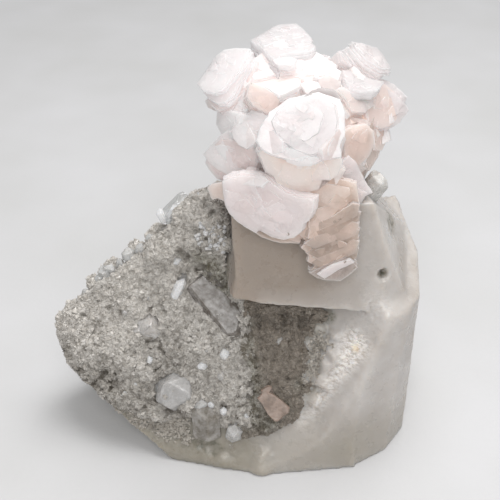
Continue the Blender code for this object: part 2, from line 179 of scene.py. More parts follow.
def shadeByAngle(obj, degrees):
    obj.data.shade_smooth()
    obj.data.set_sharp_from_angle(angle=math.radians(degrees))


def finishPiece(obj, look, slot, *nodes):
    obj.data.materials.clear()
    obj.data.materials.append(look)
    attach(obj, "root")
    if nodes:
        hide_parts(*nodes)
    print(obj.name, len(obj.data.polygons), "faces")


# The crust's face, at the lower left of the photo. Places on it are right, up and out from its origin.
leftFace = {"outward": (-0.145, -0.857, 0.495), "origin": (-13, -21, 2)}


def leftFaceFrame():
    out = Vector(leftFace["outward"]).normalized()
    up = (Vector((0, 0, 1)) - out * out.z).normalized()
    turn = Matrix((up.cross(out), up, out)).transposed().to_4x4()
    return Matrix.Translation(leftFace["origin"]) @ turn


def onLeftFace(place, lean):
    # the place is right, up and sunk below the face, and the lean is right, up and out of it
    spot = leftFaceFrame()
    return spot @ Vector((place[0], place[1], -place[2])), spot.to_3x3() @ Vector(lean)


def leftFaceSpots(points, spots):
    # how strongly each point lies in spots that are given as right, up, reach, strength
    turn = np.array(leftFaceFrame().inverted())
    flat = (points @ turn[:3, :3].T + turn[:3, 3])[:, :2]
    total = np.zeros(len(points))
    for right, up, reach, strength in spots:
        total += strength * near(flat, (right, up), reach)
    return total


def outwardShare(normals):
    # the cosine of the angle between each normal and the left face's own
    return normals @ np.array(leftFace["outward"])


# Shader maths: a wrapped socket that adds its Math nodes as the expression is written.

class Wire:
    def __init__(self, tree, socket):
        self.tree, self.socket = tree, socket

    def maths(self, operation, *values):
        return self.tree.node("ShaderNodeMath", {"operation": operation}, dict(enumerate(values)))

    def __add__(self, other):
        return self.maths("ADD", self, other)

    def __radd__(self, other):
        return self.maths("ADD", other, self)

    def __sub__(self, other):
        return self.maths("SUBTRACT", self, other)

    def __rsub__(self, other):
        return self.maths("SUBTRACT", other, self)

    def __mul__(self, other):
        return self.maths("MULTIPLY", self, other)

    def __rmul__(self, other):
        return self.maths("MULTIPLY", other, self)


class Look:
    def __init__(self, name, fixed):
        self.material = bpy.data.materials.new(name)
        self.material.use_nodes = True
        self.nodes = self.material.node_tree.nodes
        self.links = self.material.node_tree.links
        self.shader = self.nodes["Principled BSDF"]
        for socket, value in fixed.items():
            self.shader.inputs[socket].default_value = value

    def node(self, kind, settings=None, values=None, output=0):
        made = self.nodes.new(kind)
        for key, value in (settings or {}).items():
            if key == "stops":
                self.setStops(made.color_ramp, value)
            else:
                setattr(made, key, value)
        for key, value in (values or {}).items():
            if isinstance(value, Wire):
                self.links.new(value.socket, made.inputs[key])
            else:
                made.inputs[key].default_value = value
        return Wire(self, made.outputs[output])

    def setStops(self, ramp, stops):
        while len(ramp.elements) < len(stops):
            ramp.elements.new(0.5)
        for element, (place, colour) in zip(ramp.elements, stops):
            element.position = place
            element.color = (*colour, 1)

    def cloud(self, size, detail=3, roughness=0.55, stretch=(1, 1, 1)):
        # noise with features about this many millimetres wide
        where = self.node("ShaderNodeTexCoord", output="Object")
        place = self.node("ShaderNodeMapping", None, {"Vector": where, "Scale": stretch})
        values = {"Vector": place, "Scale": 1 / (size * mm), "Detail": detail, "Roughness": roughness}
        return self.node("ShaderNodeTexNoise", None, values)

    def cells(self, size):
        where = self.node("ShaderNodeTexCoord", output="Object")
        values = {"Vector": where, "Scale": 1 / (size * mm)}
        return self.node("ShaderNodeTexVoronoi", {"feature": "F1"}, values, "Distance")

    def ramp(self, value, stops):
        return self.node("ShaderNodeValToRGB", {"stops": stops}, {"Fac": value})

    def window(self, value, low, high, start=0.0, end=1.0):
        values = {"Value": value, "From Min": low, "From Max": high, "To Min": start, "To Max": end}
        return self.node("ShaderNodeMapRange", None, values)

    def patchy(self, size, start=0.0, end=1.0):
        # soft patches that run from the start value to the end value
        return self.window(self.cloud(size), 0.35, 0.7, start, end)

    def blend(self, share, first, second, how="MIX"):
        # 6 and 7 are the Mix node's two colour sockets, and 2 its colour output
        first, second = ((*c, 1) if isinstance(c, tuple) else c for c in (first, second))
        settings = {"data_type": "RGBA", "blend_type": how}
        return self.node("ShaderNodeMix", settings, {0: share, 6: first, 7: second}, 2)

    def attribute(self, name, output):
        return self.node("ShaderNodeAttribute", {"attribute_name": name}, output=output)

    def value(self, name):
        return self.attribute(name, "Fac")

    def spots(self, places, reach):
        # small ragged spots at places in the tables' millimetres
        where = self.node("ShaderNodeTexCoord", output="Object")
        total = None
        for place in places:
            values = {0: where, 1: tablesToFrame @ Vector(place)}
            away = self.node("ShaderNodeVectorMath", {"operation": "DISTANCE"}, values, 1)
            spot = self.window(away, 0.4 * reach * mm, reach * mm, 1.0, 0.0)
            total = spot if total is None else total + spot
        return total * self.window(self.cloud(0.5, 2), 0.4, 0.55)

    def bump(self, height, depth, under=None):
        values = {"Height": height, "Distance": depth * mm, "Strength": 1.0}
        if under:
            values["Normal"] = under
        return self.node("ShaderNodeBump", None, values)

    def finish(self, colour, normal, roughness=None):
        for socket, wire in (("Base Color", colour), ("Normal", normal), ("Roughness", roughness)):
            if wire:
                self.links.new(wire.socket, self.shader.inputs[socket])
        return self.material


def depthLight(weight, scale, red, green, blue, index):
    # light that scatters below the surface, and the refractive index
    return {"Subsurface Weight": weight, "Subsurface Scale": scale * mm,
            "Subsurface Radius": (red, green, blue), "IOR": index}


calciteTones = {
    "warmth": ((0.0, (0.975, 0.810, 0.800)), (0.3, (0.970, 0.775, 0.735)), (0.62, (0.955, 0.745, 0.655)),
               (0.85, (0.640, 0.490, 0.410)), (1.0, (0.430, 0.335, 0.275))),
    "pale": ((0.35, (0.955, 0.915, 0.925)), (0.65, (0.975, 0.950, 0.955))),
    "speck": (0.25, 0.20, 0.16),
    "speckReach": 0.45,
    "specks": [
        (0.4, -4.3, 82.4), (12.3, -15.5, 60.4), (16.0, -15.1, 59.0), (16.9, -14.6, 59.4),
        (2.8, -15.6, 65.3), (7.1, -17.2, 57.7), (16.5, -15.7, 55.1), (18.2, -16.4, 50.7), (20.4, -15.4, 48.5),
    ],
}


def calciteLook():
    look = Look("pink_calcite", depthLight(1.0, 6.5, 0.92, 1.0, 1.0, 1.55))
    warmth = look.value("warmth") + (look.cloud(5, 2) - 0.5) * 0.5
    body = look.ramp(warmth, calciteTones["warmth"])
    pale = look.ramp(look.cloud(3, 2), calciteTones["pale"])
    colour = look.blend(look.value("paleness"), body, pale)
    # painted light and shade: each plate's colour is scaled by its painted light level, set plate by plate
    # for how strongly light falls on it
    colour = look.blend(1.0, colour, look.value("brightness"), "MULTIPLY")
    specks = look.spots(calciteTones["specks"], calciteTones["speckReach"])
    colour = look.blend(specks, colour, calciteTones["speck"])
    sheets = look.node("ShaderNodeSeparateXYZ", None, {"Vector": look.attribute("layers", "Vector")})
    linesAt = {"W": sheets * 6.0, "Scale": 1.0, "Detail": 2.0}
    lines = look.node("ShaderNodeTexNoise", {"noise_dimensions": "1D"}, linesAt)
    normal = look.bump(lines, 0.025, look.bump(look.cloud(0.4, 2), 0.015))
    normal = look.bump(look.cloud(1.6, 3, 0.5), 0.16, normal)
    return look.finish(colour, normal, look.patchy(1.8, 0.12, 0.34))


quartzTones = {
    "veil": ((0.34, (0.445, 0.412, 0.382)), (0.66, (0.555, 0.53, 0.507))),
    "broken": ((0.38, (0.55, 0.50, 0.45)), (0.58, (0.93, 0.90, 0.87))),
    # painted shade: the rosette's shadow on the upper crystal, and its left side and edge
    "shade": (0.37, 0.315, 0.268),
    # brown: the quartz's own brown, also used as painted shade under the quartz and towards the bottom
    "brown": (0.355, 0.325, 0.275),
    # stain: dark stains, also used as painted shade in holes and gaps
    "stain": (0.17, 0.16, 0.12),
    # a painted orange glint in the broken zone
    "glow": (1.0, 0.80, 0.55),
}


def milkyQuartzLook():
    look = Look("milky_quartz", depthLight(0.85, 4.0, 1.0, 0.88, 0.76, 1.54))
    veil = look.ramp(look.cloud(9, 4, 0.6), quartzTones["veil"])
    # painted shade on the upper crystal
    colour = look.blend(look.value("shade"), veil, quartzTones["shade"])
    hackly = look.cloud(1.0, 4, 0.7, (1, 1, 2.2))
    colour = look.blend(look.value("frost"), colour, look.ramp(hackly, quartzTones["broken"]))
    colour = look.blend(look.value("brown"), colour, quartzTones["brown"])
    # dark stains, and painted shade in holes, gaps and the low band
    spots = look.value("stain") * look.window(look.cloud(1.4, 4, 0.7), 0.42, 0.6, 0.35, 1.0)
    colour = look.blend(spots, colour, quartzTones["stain"])
    # painted glint
    colour = look.blend(look.value("glow"), colour, quartzTones["glow"])
    normal = look.bump(look.cloud(0.7, 4, 0.6), 0.05, look.bump(look.cloud(2.6), 0.10))
    normal = look.bump(hackly * look.value("frost"), 0.35, normal)
    return look.finish(colour, normal, look.patchy(2.5, 0.22, 0.5))


def druseLook(name, light, dark, hollowShadeTone):
    look = Look(name, depthLight(0.3, 0.8, 1.0, 0.95, 0.9, 1.54))
    speckle = look.ramp(look.cloud(1.1, 3, 0.65), ((0.36, dark), (0.62, light)))
    # paler tone, for whiter grains and for the painted sparkle on the ledge
    paleAndSparkleTone = tuple(min(0.97, c * 1.25) for c in light)
    speckle = look.blend(look.value("tint") * 0.65, speckle, paleAndSparkleTone)
    # olive tone of bare quartz, partly painted shade in the recess under the ledge; in the pocket it lightens
    # the edge beside the crust
    olive = ((0.42, (0.14, 0.125, 0.09)), (0.57, (0.45, 0.43, 0.38)))
    speckle = look.blend(look.value("open"), speckle, look.ramp(look.cloud(1.6, 4, 0.7), olive))
    # painted shade in pits and hollows
    colour = look.blend(look.value("hollow"), speckle, hollowShadeTone)
    roughness = look.window(look.value("tint"), 0.1, 0.9, 0.65, 0.22)
    return look.finish(colour, look.bump(look.cells(0.5), 0.10), roughness)


def cloudyCrystalLook(name, colour, clearness=0.3, veiled=0.35):
    look = Look(name, depthLight(0.8, 1.8, 1.0, 0.95, 0.9, 1.54) | {"Transmission Weight": clearness})
    whiter = tuple(veiled + c * (1 - veiled) for c in colour)
    veil = look.blend(look.patchy(1.4), colour, whiter)
    return look.finish(veil, look.bump(look.cloud(0.6), 0.04), look.patchy(1.1, 0.12, 0.4))


def clearCrystalLook():
    look = Look("clear_quartz", {"Transmission Weight": 0.6, "IOR": 1.54})
    haze = look.blend(look.window(look.cloud(1.6), 0.4, 0.7), (0.96, 0.97, 0.97), (0.84, 0.86, 0.85))
    roughness = look.window(look.cloud(1.3), 0.35, 0.75, 0.04, 0.3)
    return look.finish(haze, look.bump(look.cloud(0.9, 2), 0.03), roughness)


def flakeLook():
    look = Look("tan_calcite", depthLight(0.4, 1.0, 1.0, 0.8, 0.7, 1.55))
    tan = look.ramp(look.cloud(1.6, 4, 0.65), ((0.35, (0.185, 0.135, 0.105)), (0.65, (0.33, 0.25, 0.205))))
    return look.finish(tan, look.bump(look.cloud(0.8, 4, 0.6), 0.12), look.patchy(0.9, 0.3, 0.6))


looks = {
    "calcite": calciteLook(),
    "quartz": milkyQuartzLook(),
    # speckle's light and dark tones, and the painted shade of the hollows
    "druse": druseLook("druse", (0.59, 0.56, 0.52), (0.27, 0.248, 0.218), (0.09, 0.077, 0.06)),
    # the pocket's darker tones: partly its own colour, partly painted shade under the overhang
    "pocket": druseLook("pocket_druse", (0.27, 0.235, 0.195), (0.12, 0.10, 0.078), (0.06, 0.048, 0.036)),
    # the low band's darker tones: partly its own colour, partly painted shade towards the bottom
    "low": druseLook("low_druse", (0.43, 0.395, 0.35), (0.21, 0.188, 0.155), (0.08, 0.068, 0.05)),
    # body colour, clearness, and how white the veils are
    "grey": cloudyCrystalLook("grey_quartz", (0.56, 0.53, 0.50), 0.2),
    "white": cloudyCrystalLook("white_quartz", (0.93, 0.92, 0.92), 0.2),
    "pale": cloudyCrystalLook("pale_quartz", (0.50, 0.49, 0.475), 0.25),
    "frosted": cloudyCrystalLook("frosted_quartz", (0.44, 0.43, 0.42), 0.1, 0.2),
    "mist": cloudyCrystalLook("mist_quartz", (0.54, 0.535, 0.52)),
    "side": cloudyCrystalLook("side_quartz", (0.60, 0.585, 0.555)),
    "lath": cloudyCrystalLook("lath_quartz", (0.135, 0.116, 0.097), 0.0, 0.24),
    "brown": cloudyCrystalLook("brown_quartz", (0.18, 0.16, 0.132), 0.0, 0.24),
    "flake": flakeLook(),
    "clear": clearCrystalLook(),
}
print("materials made")


# Small six-sided crystals spread over a surface, each turned and tinted in its own way.

grain = {
    "sides": 6,
    "foot": 0.52,                       # radius and height, as shares of a grain's size
    "height": 0.8,
    "sunk": 0.28,
    "leastStretch": (0.65, 0.65, 0.7),
    "mostStretch": (1.3, 1.3, 1.4),
    "tintSeed": 4,
}


def grainTree(look):
    tree = bpy.data.node_groups.new("crystal grains", "GeometryNodeTree")
    for name, kind in (("Surface", "Geometry"), ("Per square mm", "Float"), ("Smallest", "Float"),
                       ("Largest", "Float"), ("Lean", "Float"), ("Seed", "Int")):
        tree.interface.new_socket(name, in_out="INPUT", socket_type="NodeSocket" + kind)
    tree.interface.new_socket("Grains", in_out="OUTPUT", socket_type="NodeSocketGeometry")
    given = tree.nodes.new("NodeGroupInput").outputs
    outside = tree.nodes.new("NodeGroupOutput")

    def step(kind, settings, values, output=0):
        made = tree.nodes.new(kind)
        for key, value in settings.items():
            setattr(made, key, value)
        for key, value in values.items():
            if isinstance(value, bpy.types.NodeSocket):
                tree.links.new(value, made.inputs[key])
            else:
                made.inputs[key].default_value = value
        return made.outputs[output]

    def times(first, second):
        return step("ShaderNodeMath", {"operation": "MULTIPLY"}, {0: first, 1: second})

    def vector(x, y, z):
        return step("ShaderNodeCombineXYZ", {}, {"X": x, "Y": y, "Z": z})

    def chance(kind, values, output):
        return step("FunctionNodeRandomValue", {"data_type": kind}, values, output)

    share = step("GeometryNodeInputNamedAttribute", {"data_type": "FLOAT"}, {"Name": "grainShare"})
    perSquareMetre = times(times(given["Per square mm"], share), 1e6)
    spread = step("GeometryNodeDistributePointsOnFaces", {"distribute_method": "RANDOM"},
                  {"Mesh": given["Surface"], "Density": perSquareMetre, "Seed": given["Seed"]}).node
    point = step("GeometryNodeMeshCone", {"fill_type": "NGON"},
                 {"Vertices": grain["sides"], "Radius Top": 0.0, "Radius Bottom": grain["foot"],
                  "Depth": grain["height"]})
    lowered = step("GeometryNodeTransform", {}, {"Geometry": point, "Translation": (0, 0, -grain["sunk"])})
    least = times(given["Lean"], -1.0)
    lowest, highest = vector(least, least, -3.14), vector(given["Lean"], given["Lean"], 3.14)
    lean = chance("FLOAT_VECTOR", {0: lowest, 1: highest}, 0)
    turned = step("FunctionNodeRotateRotation", {"rotation_space": "LOCAL"},
                  {"Rotation": spread.outputs["Rotation"], "Rotate By": lean})
    size = times(chance("FLOAT", {2: given["Smallest"], 3: given["Largest"]}, 1), mm)
    stretch = chance("FLOAT_VECTOR", {0: grain["leastStretch"], 1: grain["mostStretch"]}, 0)
    scale = step("ShaderNodeVectorMath", {"operation": "SCALE"}, {0: stretch, "Scale": size})
    placed = step("GeometryNodeInstanceOnPoints", {},
                  {"Points": spread.outputs["Points"], "Instance": lowered, "Rotation": turned,
                   "Scale": scale})
    shine = chance("FLOAT", {"Seed": grain["tintSeed"]}, 1)
    tinted = step("GeometryNodeStoreNamedAttribute", {"data_type": "FLOAT", "domain": "INSTANCE"},
                  {"Geometry": placed, "Name": "tint", "Value": shine})
    real = step("GeometryNodeRealizeInstances", {}, {"Geometry": tinted})
    painted = step("GeometryNodeSetMaterial", {}, {"Geometry": real, "Material": look})
    tree.links.new(painted, outside.inputs["Grains"])
    return tree


def growGrains(host, name, look, slot, sizes, count, lean, seed):
    # sizes in mm, how many per square mm, and how far they lean, in radians
    tree = grainTree(looks[look])
    bed = host.copy()
    bed.data = host.data.copy()
    bed.name = name
    scene.collection.objects.link(bed)
    modifier = bed.modifiers.new("grains", "NODES")
    modifier.node_group = tree
    given = {"Per square mm": count, "Smallest": sizes[0], "Largest": sizes[1], "Lean": lean, "Seed": seed}
    for item in tree.interface.items_tree:
        if item.in_out == "INPUT" and item.name in given:
            modifier[item.identifier] = given[item.name]
    applyModifiers(bed)
    finishPiece(bed, looks[look], slot)


# The photo's camera angle. It also says where on the specimen a place that is seen in the photo lies.

photoView = {
    "target": (0, 0, 42.0),      # what the camera looks at, in the tables' millimetres
    "distance": 205.0,
    "elevation": 35.0,
    "lens": 70.0,
    "sensor": 36.0,
    "pixels": 500,               # the photo's width and height
}
viewRise = math.radians(photoView["elevation"])
viewAhead = np.array([0, math.cos(viewRise), -math.sin(viewRise)])
viewUp = np.array([0, math.sin(viewRise), math.cos(viewRise)])
viewRight = np.array([1, 0, 0])
eyePlace = np.array(photoView["target"]) - photoView["distance"] * viewAhead


def lookAlong(across, down):
    # the direction in which the camera sees a pixel
    middle = photoView["pixels"] / 2
    scale = middle * photoView["lens"] / (photoView["sensor"] / 2)
    return viewAhead + (across - middle) / scale * viewRight + (middle - down) / scale * viewUp


def seenAt(across, down, depth):
    # the place with this Y that the camera sees at a pixel
    ray = lookAlong(across, down)
    return tuple(eyePlace + (depth - eyePlace[1]) / ray[1] * ray)


# The calcite rosette: stacks of thin plates round a hidden heart.

rosette = {
    "heart": (10.5, 4.5, 66.5),
    "heartSize": (13.4, 12.6, 13.6),
    "heartTint": (0.1, 0.6, 1.0),
    "inset": 0.12,         # how far a plate's flat face lies inside its edge, mm
    "overlap": 1.7,        # thickness of a sheet as a multiple of the space between two sheets
    "tooth": 0.11,         # steps along a plate's sides, mm
    "jumpShare": 0.3,      # how many of the sheets stand out from the ones above, and how far, mm
    "jump": 0.28,
    # paleness added to every plate's rims, as a painted highlight
    "rimPaintedHighlight": 0.30,
    "leastStepped": 3.4,   # growth steps lie on the plates that reach farther than this, mm
    "stepsPerMm": 1.1,     # how many for each mm of the plate's reach
    "stepTries": 40,
    "stepSize": (0.2, 0.5),      # as a share of the plate's reach
    "stepRise": (0.03, 0.2),     # how far above the plate, mm
    "stepDepth": 1.2,
    "stepSheets": 2,
    "fillers": 170,        # small stacks between the large ones
    "fillerSeed": 5,
    "fillerWidth": (1.8, 3.6),   # from the middle to a corner, mm
    "fillerDepth": 2.4,
    "fillerSheets": 5,
    "hidden": 15,          # large stacks round the back
    "hiddenSeed": 11,
    "hiddenAway": (14.0, 17.0),  # from the heart, mm
    "hiddenWidth": (4.6, 6.4),
    "hiddenHeart": (10.5, 4.5, 67.0),
    "hiddenDepth": 7.0,
    "hiddenSheets": 16,
    "hiddenTints": ((0.9, 0.1, 0.9), (0.5, 0.3, 0.95), (0.35, 0.6, 1.0)),
}
goldenAngle = math.radians(137.5)

# Name: place, facing (azimuth right of the viewer, elevation), lift above the place, depth, sheets, slide of
# each inward sheet in pixels, tint (paleness, warmth, brightness), and the outer sheet's outline in the
# photo's pixels. The outlines were traced, and a place is in mm.
# a tint's third value is the plate's painted light level, set plate by plate for how strongly light falls on
# it
largePlates = {
    "brow": ((6.5, 8.1, 85.2), (-8, 84), 0, 3.2, 4, (0.6, 0.8), (1.0, 0.1, 0.74), [
        (250, 41), (263, 34), (277, 26), (284, 25), (296, 24.5), (302, 29), (308, 35), (313, 41),
        (310, 43), (316, 48), (311, 52), (300, 53), (290, 54), (281, 56), (277, 61), (271, 58), (262, 50)]),
    "brow_top": ((6.5, 8.1, 85.2), (-8, 84), 0.55, 0.9, 2, (0, 0.3), (1.0, 0.0, 0.72), [
        (257, 38), (277, 26), (296, 24.5), (308, 35), (313, 41), (289, 46), (284, 40), (272, 43),
        (264, 47)]),
    "brow_step": ((6.5, 8.1, 85.2), (-8, 76), 0.5, 0.9, 2, (0, 0.3), (1.0, 0.0, 1.0), [
        (272, 42), (284, 40), (291, 50), (288, 55), (279, 57), (274, 50)]),
    "brow_lip": ((6.5, 8.1, 85.2), (-8, 84), -1.0, 1.6, 3, (0.8, 0.5), (0.7, 0.2, 0.74), [
        (268, 52), (300, 50), (316, 49), (312, 55), (300, 57), (284, 60), (277, 64), (268, 60)]),
    "wing": ((-6.8, 2.0, 80.8), (-52, 46), 0, 1.1, 2, (1.0, 1.2), (0.95, 0.1, 0.87), [
        (196.5, 84), (203, 75), (209, 66), (216, 56), (224, 50), (236, 48), (250, 48.5), (247, 56),
        (240, 68), (233, 76), (222, 90), (213, 93), (203, 91)]),
    "wing_second": ((-6.8, 2.0, 80.8), (-52, 46), -1.1, 1.2, 2, (1.0, 1.2), (0.75, 0.15, 0.82), [
        (203, 92), (208, 99), (217, 104), (225, 103), (232, 96), (241, 80), (249, 66), (252, 57),
        (250, 50), (236, 49), (216, 60), (205, 78)]),
    "wing_third": ((-6.8, 2.0, 80.8), (-52, 46), -2.3, 3.0, 4, (0.8, 0.9), (0.45, 0.3, 0.83), [
        (207, 100), (211, 107), (218, 111), (226, 109), (241, 97), (251, 82), (257, 68), (257, 60),
        (246, 56), (226, 70), (212, 88)]),
    "wing_lobe": ((-6.0, 0.5, 76.0), (-50, 12), 0, 2.4, 5, (0.6, 0.3), (0.4, 0.75, 0.87), [
        (205, 101), (208, 108), (217, 112), (225, 109), (230, 104), (222, 98), (210, 97)]),
    "crown_back": ((9.5, 1.5, 82.3), (4, 66), 0, 2.0, 4, (0.2, 1.6), (0.55, 0.3, 0.92), [
        (250, 62), (262, 53), (282, 56), (300, 54), (317, 52), (326, 58), (338, 66), (334, 72), (318, 75),
        (296, 74), (272, 76), (254, 79), (247, 71)]),
    "crown": ((9.5, -0.5, 80.6), (2, 58), 0, 2.2, 4, (0.2, 1.4), (0.4, 0.4, 0.92), [
        (247, 74), (262, 66), (290, 66), (312, 62), (330, 64), (342, 72), (339, 81), (322, 85), (304, 82),
        (284, 82), (262, 88), (249, 87)]),
    "crown_right": ((16.0, -1.5, 80.4), (28, 50), 0, 2.0, 4, (0.3, 0.8), (0.6, 0.4, 0.66), [
        (318, 76), (326, 73), (335, 77), (342, 84), (338, 92), (328, 91), (318, 86)]),
    "crown_glint": ((12.0, 0.0, 82.6), (-20, 72), 0, 0.8, 2, (0, 0.3), (1.0, 0.0, 1.0), [
        (295, 66), (300, 62), (309, 62), (312, 65), (306, 68), (297, 68)]),
    "crown_glint_low": ((14.0, -1.5, 81.6), (30, 70), 0, 0.8, 2, (0, 0.3), (1.0, 0.1, 1.0), [
        (313, 77), (317, 72), (324, 72), (326, 76), (320, 79)]),
    "hood": ((6.1, -3.6, 80.9), (-10, 64), 0, 2.0, 3, (0.2, 0.5), (1.0, 0.15, 0.95), [
        (263, 86), (275, 83), (284, 81.5), (298, 79), (304.5, 85), (292, 91), (280, 97), (272, 92)]),
    "hood_under": ((6.1, -3.6, 80.9), (-10, 60), -1.5, 2.0, 4, (0, 0.5), (0.35, 0.55, 0.95), [
        (266, 88), (304, 85), (307, 91), (296, 98), (284, 103), (276, 100)]),
    "roof_left": (seenAt(240, 103, -2.5), (-52, 30), 0, 3.0, 4, (0.8, 0.6), (0.75, 0.3, 1.0), [
        (226, 101), (236, 88), (246, 81), (254, 86), (256, 98), (250, 108), (243, 114), (232, 120),
        (222, 113)]),
    "roof_right": (seenAt(264, 98, -5.5), (14, 38), 0, 3.0, 4, (-0.5, 0.9), (0.25, 0.5, 0.74), [
        (249, 82), (262, 86), (274, 94), (281, 103), (272, 117), (262, 112), (252, 106), (246, 97)]),
    "temple": (seenAt(228, 122, -3.5), (-60, 15), 0, 3.0, 4, (0.6, 0.6), (0.7, 0.35, 1.0), [
        (218, 112), (232, 110), (243, 114), (240, 124), (232, 131), (222, 134), (217, 124)]),
    "cheek": ((0.6, -8.0, 74.7), (-30, 32), 0, 2.6, 4, (0.3, 0.6), (0.7, 0.25, 1.0), [
        (231, 131), (240, 121), (252, 110), (262, 113), (272, 119), (270, 128), (265, 136), (259, 142),
        (246, 149), (239, 146), (233, 139)]),
    "cheek_facet": ((0.6, -8.0, 74.7), (-44, 26), 0.45, 1.0, 2, (0, 0.3), (0.45, 0.25, 1.0), [
        (233, 138), (236, 128), (247, 122), (254, 136), (256, 143), (246, 149), (239, 146)]),
    "face": ((9.6, -13.3, 78.0), (2, 29), 0, 1.6, 3, (0, 0.5), (0.95, 0.0, 0.7), [
        (271, 121), (279, 109), (291, 101), (318, 93.5), (335, 105), (338, 121), (336, 135), (322, 152),
        (311, 156), (295, 151), (277, 138)]),
    "face_step": ((9.6, -13.3, 78.0), (-5, 33), 0.18, 0.8, 2, (0.3, 0.3), (1.0, 0.0, 0.72), [
        (275, 119), (281, 111), (297, 103), (312, 101), (324, 114), (319, 133), (305, 142), (285, 134)]),
    "face_low": ((9.6, -13.3, 78.0), (10, 22), 0.28, 0.8, 2, (0.3, 0.3), (1.0, 0.0, 0.76), [
        (290, 136), (303, 133), (313, 124), (326, 122), (331, 132), (327, 143), (318, 151), (311, 155),
        (300, 151), (291, 146)]),
    "face_ridge": ((9.6, -13.3, 78.0), (-8, 44), 0.38, 0.7, 2, (0.2, 0.3), (1.0, 0.0, 0.88), [
        (287, 118), (297, 109), (311, 107), (321, 113), (314, 119), (298, 121)]),
    "face_corner": ((14.0, -11.0, 79.2), (16, 30), 0.2, 2.4, 5, (0.3, 0.5), (0.55, 0.25, 0.44), [
        (303, 97), (312, 91), (322, 88), (335, 90), (341, 99), (344, 112), (343, 128), (338, 142),
        (334, 128), (331, 112), (320, 101)]),
    "collar": ((9.7, -12.8, 75.8), (2, 26), 0.5, 1.8, 4, (0.0, 0.7), (0.8, 0.15, 0.92), [
        (256, 141), (262, 149), (270, 154), (278, 157), (290, 160), (301, 162), (315, 164), (325, 159),
        (335, 158), (342, 157), (340, 145), (345, 135), (345, 112), (340, 100), (318, 92), (290, 98),
        (270, 112), (260, 128)]),
    "collar_second": ((9.7, -12.2, 73.6), (2, 20), 0, 2.0, 4, (0, 0.9), (0.6, 0.4, 0.92), [
        (258, 148), (264, 158), (274, 163), (282, 170), (292, 171), (302, 170), (314, 173), (326, 168),
        (334, 171), (343, 167), (341, 156), (346, 140), (344, 118), (320, 100), (280, 110), (262, 134)]),
    "bib": ((9.2, -14.0, 69.8), (0, 10), 0, 1.4, 3, (0, 0.6), (0.35, 0.62, 1.0), [
        (258, 152), (262, 163), (266, 172), (273, 176), (277, 184), (284, 191), (292, 194), (300, 197.5),
        (306, 194), (313, 191), (319, 190), (323, 180), (330, 181), (338, 175), (343, 161), (330, 140),
        (290, 135)]),
    "bib_low": ((9.2, -13.2, 67.6), (2, 6), 0, 2.4, 5, (0, 0.6), (0.3, 0.5, 1.0), [
        (263, 160), (270, 180), (280, 192), (298, 202), (314, 198), (326, 188), (338, 184), (345, 170),
        (330, 145), (290, 145)]),
    "jaw": ((-5.2, -5.0, 67.8), (-38, 10), 0, 2.0, 4, (0.3, 0.9), (0.6, 0.2, 1.0), [
        (203.5, 154.5), (213, 143), (222, 134), (229, 129), (233, 139), (240, 146), (249, 149),
        (260, 150), (258, 163), (247, 168), (240, 175), (230, 176), (218, 170), (210, 163)]),
    "jaw_second": ((-5.0, -5.0, 66.0), (-40, 4), 0, 4.0, 5, (0.4, 0.7), (0.3, 0.3, 0.9), [
        (206, 163), (212, 172), (218, 179), (226, 181), (234, 184.5), (239, 180), (241, 174), (256, 168),
        (258, 152), (240, 140), (222, 138), (209, 152)]),
    "jaw_tooth": ((0.5, -12.6, 64.8), (-24, 14), 0, 1.6, 3, (0.2, 0.6), (0.45, 0.25, 0.74), [
        (240, 176), (247, 168), (255, 170), (257, 180), (252, 190), (245, 193), (241, 187)]),
    "patch": (seenAt(216, 190, -7.2), (-30, 18), 0, 2.5, 4, (0.4, 0.2), (0.25, 0.8, 0.86), [
        (207, 187), (212, 183), (219, 182), (226, 180), (227, 192), (226, 202), (218, 198), (212, 200),
        (209, 193)]),
    "chin": ((1.9, -15.0, 61.4), (-16, 8), 0, 1.6, 4, (0.3, -0.3), (0.35, 0.1, 0.89), [
        (222, 181), (223, 193), (225, 205), (229, 213), (238, 222), (250, 230), (256, 233), (259, 230),
        (272, 237), (284, 240), (294, 238), (301, 232), (304, 224), (309, 221), (313, 212), (314, 200),
        (305, 198), (296, 197), (286, 193), (277, 187), (268, 181), (258, 177), (240, 176)]),
    "chin_petal": ((1.9, -15.0, 61.4), (-2, 18), 0.3, 1.0, 2, (0.3, -0.3), (0.7, 0.05, 0.89), [
        (262, 193), (278, 192), (292, 200), (300, 212), (298, 226), (288, 234), (275, 231), (268, 220),
        (262, 206)]),
    "chin_left": ((1.9, -15.0, 61.4), (-30, 4), 0.2, 1.0, 2, (0.3, -0.3), (0.4, 0.1, 0.93), [
        (225, 197), (238, 184), (254, 184), (262, 200), (262, 218), (256, 231), (243, 224), (231, 212)]),
    "chin_petal_second": ((1.9, -15.0, 61.4), (6, 26), 0.55, 0.9, 2, (0.3, -0.3), (0.6, 0.25, 0.72), [
        (256, 197), (270, 192), (281, 199), (284, 212), (276, 222), (266, 216), (258, 207)]),
    "chin_petal_small": ((1.9, -15.0, 61.4), (10, -2), 0.5, 0.8, 2, (0.3, -0.3), (0.75, 0.1, 0.89), [
        (270, 214), (284, 206), (295, 212), (295, 224), (286, 232), (276, 228)]),
    "chin_petal_low": ((1.9, -15.0, 61.4), (-22, -8), 0.35, 0.8, 2, (0.3, -0.3), (0.35, 0.1, 0.89), [
        (250, 212), (262, 206), (270, 216), (270, 229), (262, 232), (252, 226)]),
    "neck": (seenAt(245, 179, -13.0), (-32, 34), 0, 1.6, 3, (0.2, 0.5), (0.4, 0.2, 1.0), [
        (222, 178), (232, 171), (245, 170), (258, 173), (269, 180), (262, 187), (246, 185), (232, 184)]),
    "chin_under": ((1.9, -14.4, 61.0), (-12, 2), -1.2, 4.0, 5, (0.3, -0.3), (0.0, 0.85, 0.82), [
        (247, 228), (262, 237), (280, 243), (300, 243.5), (309, 236), (313, 215), (300, 203), (280, 200),
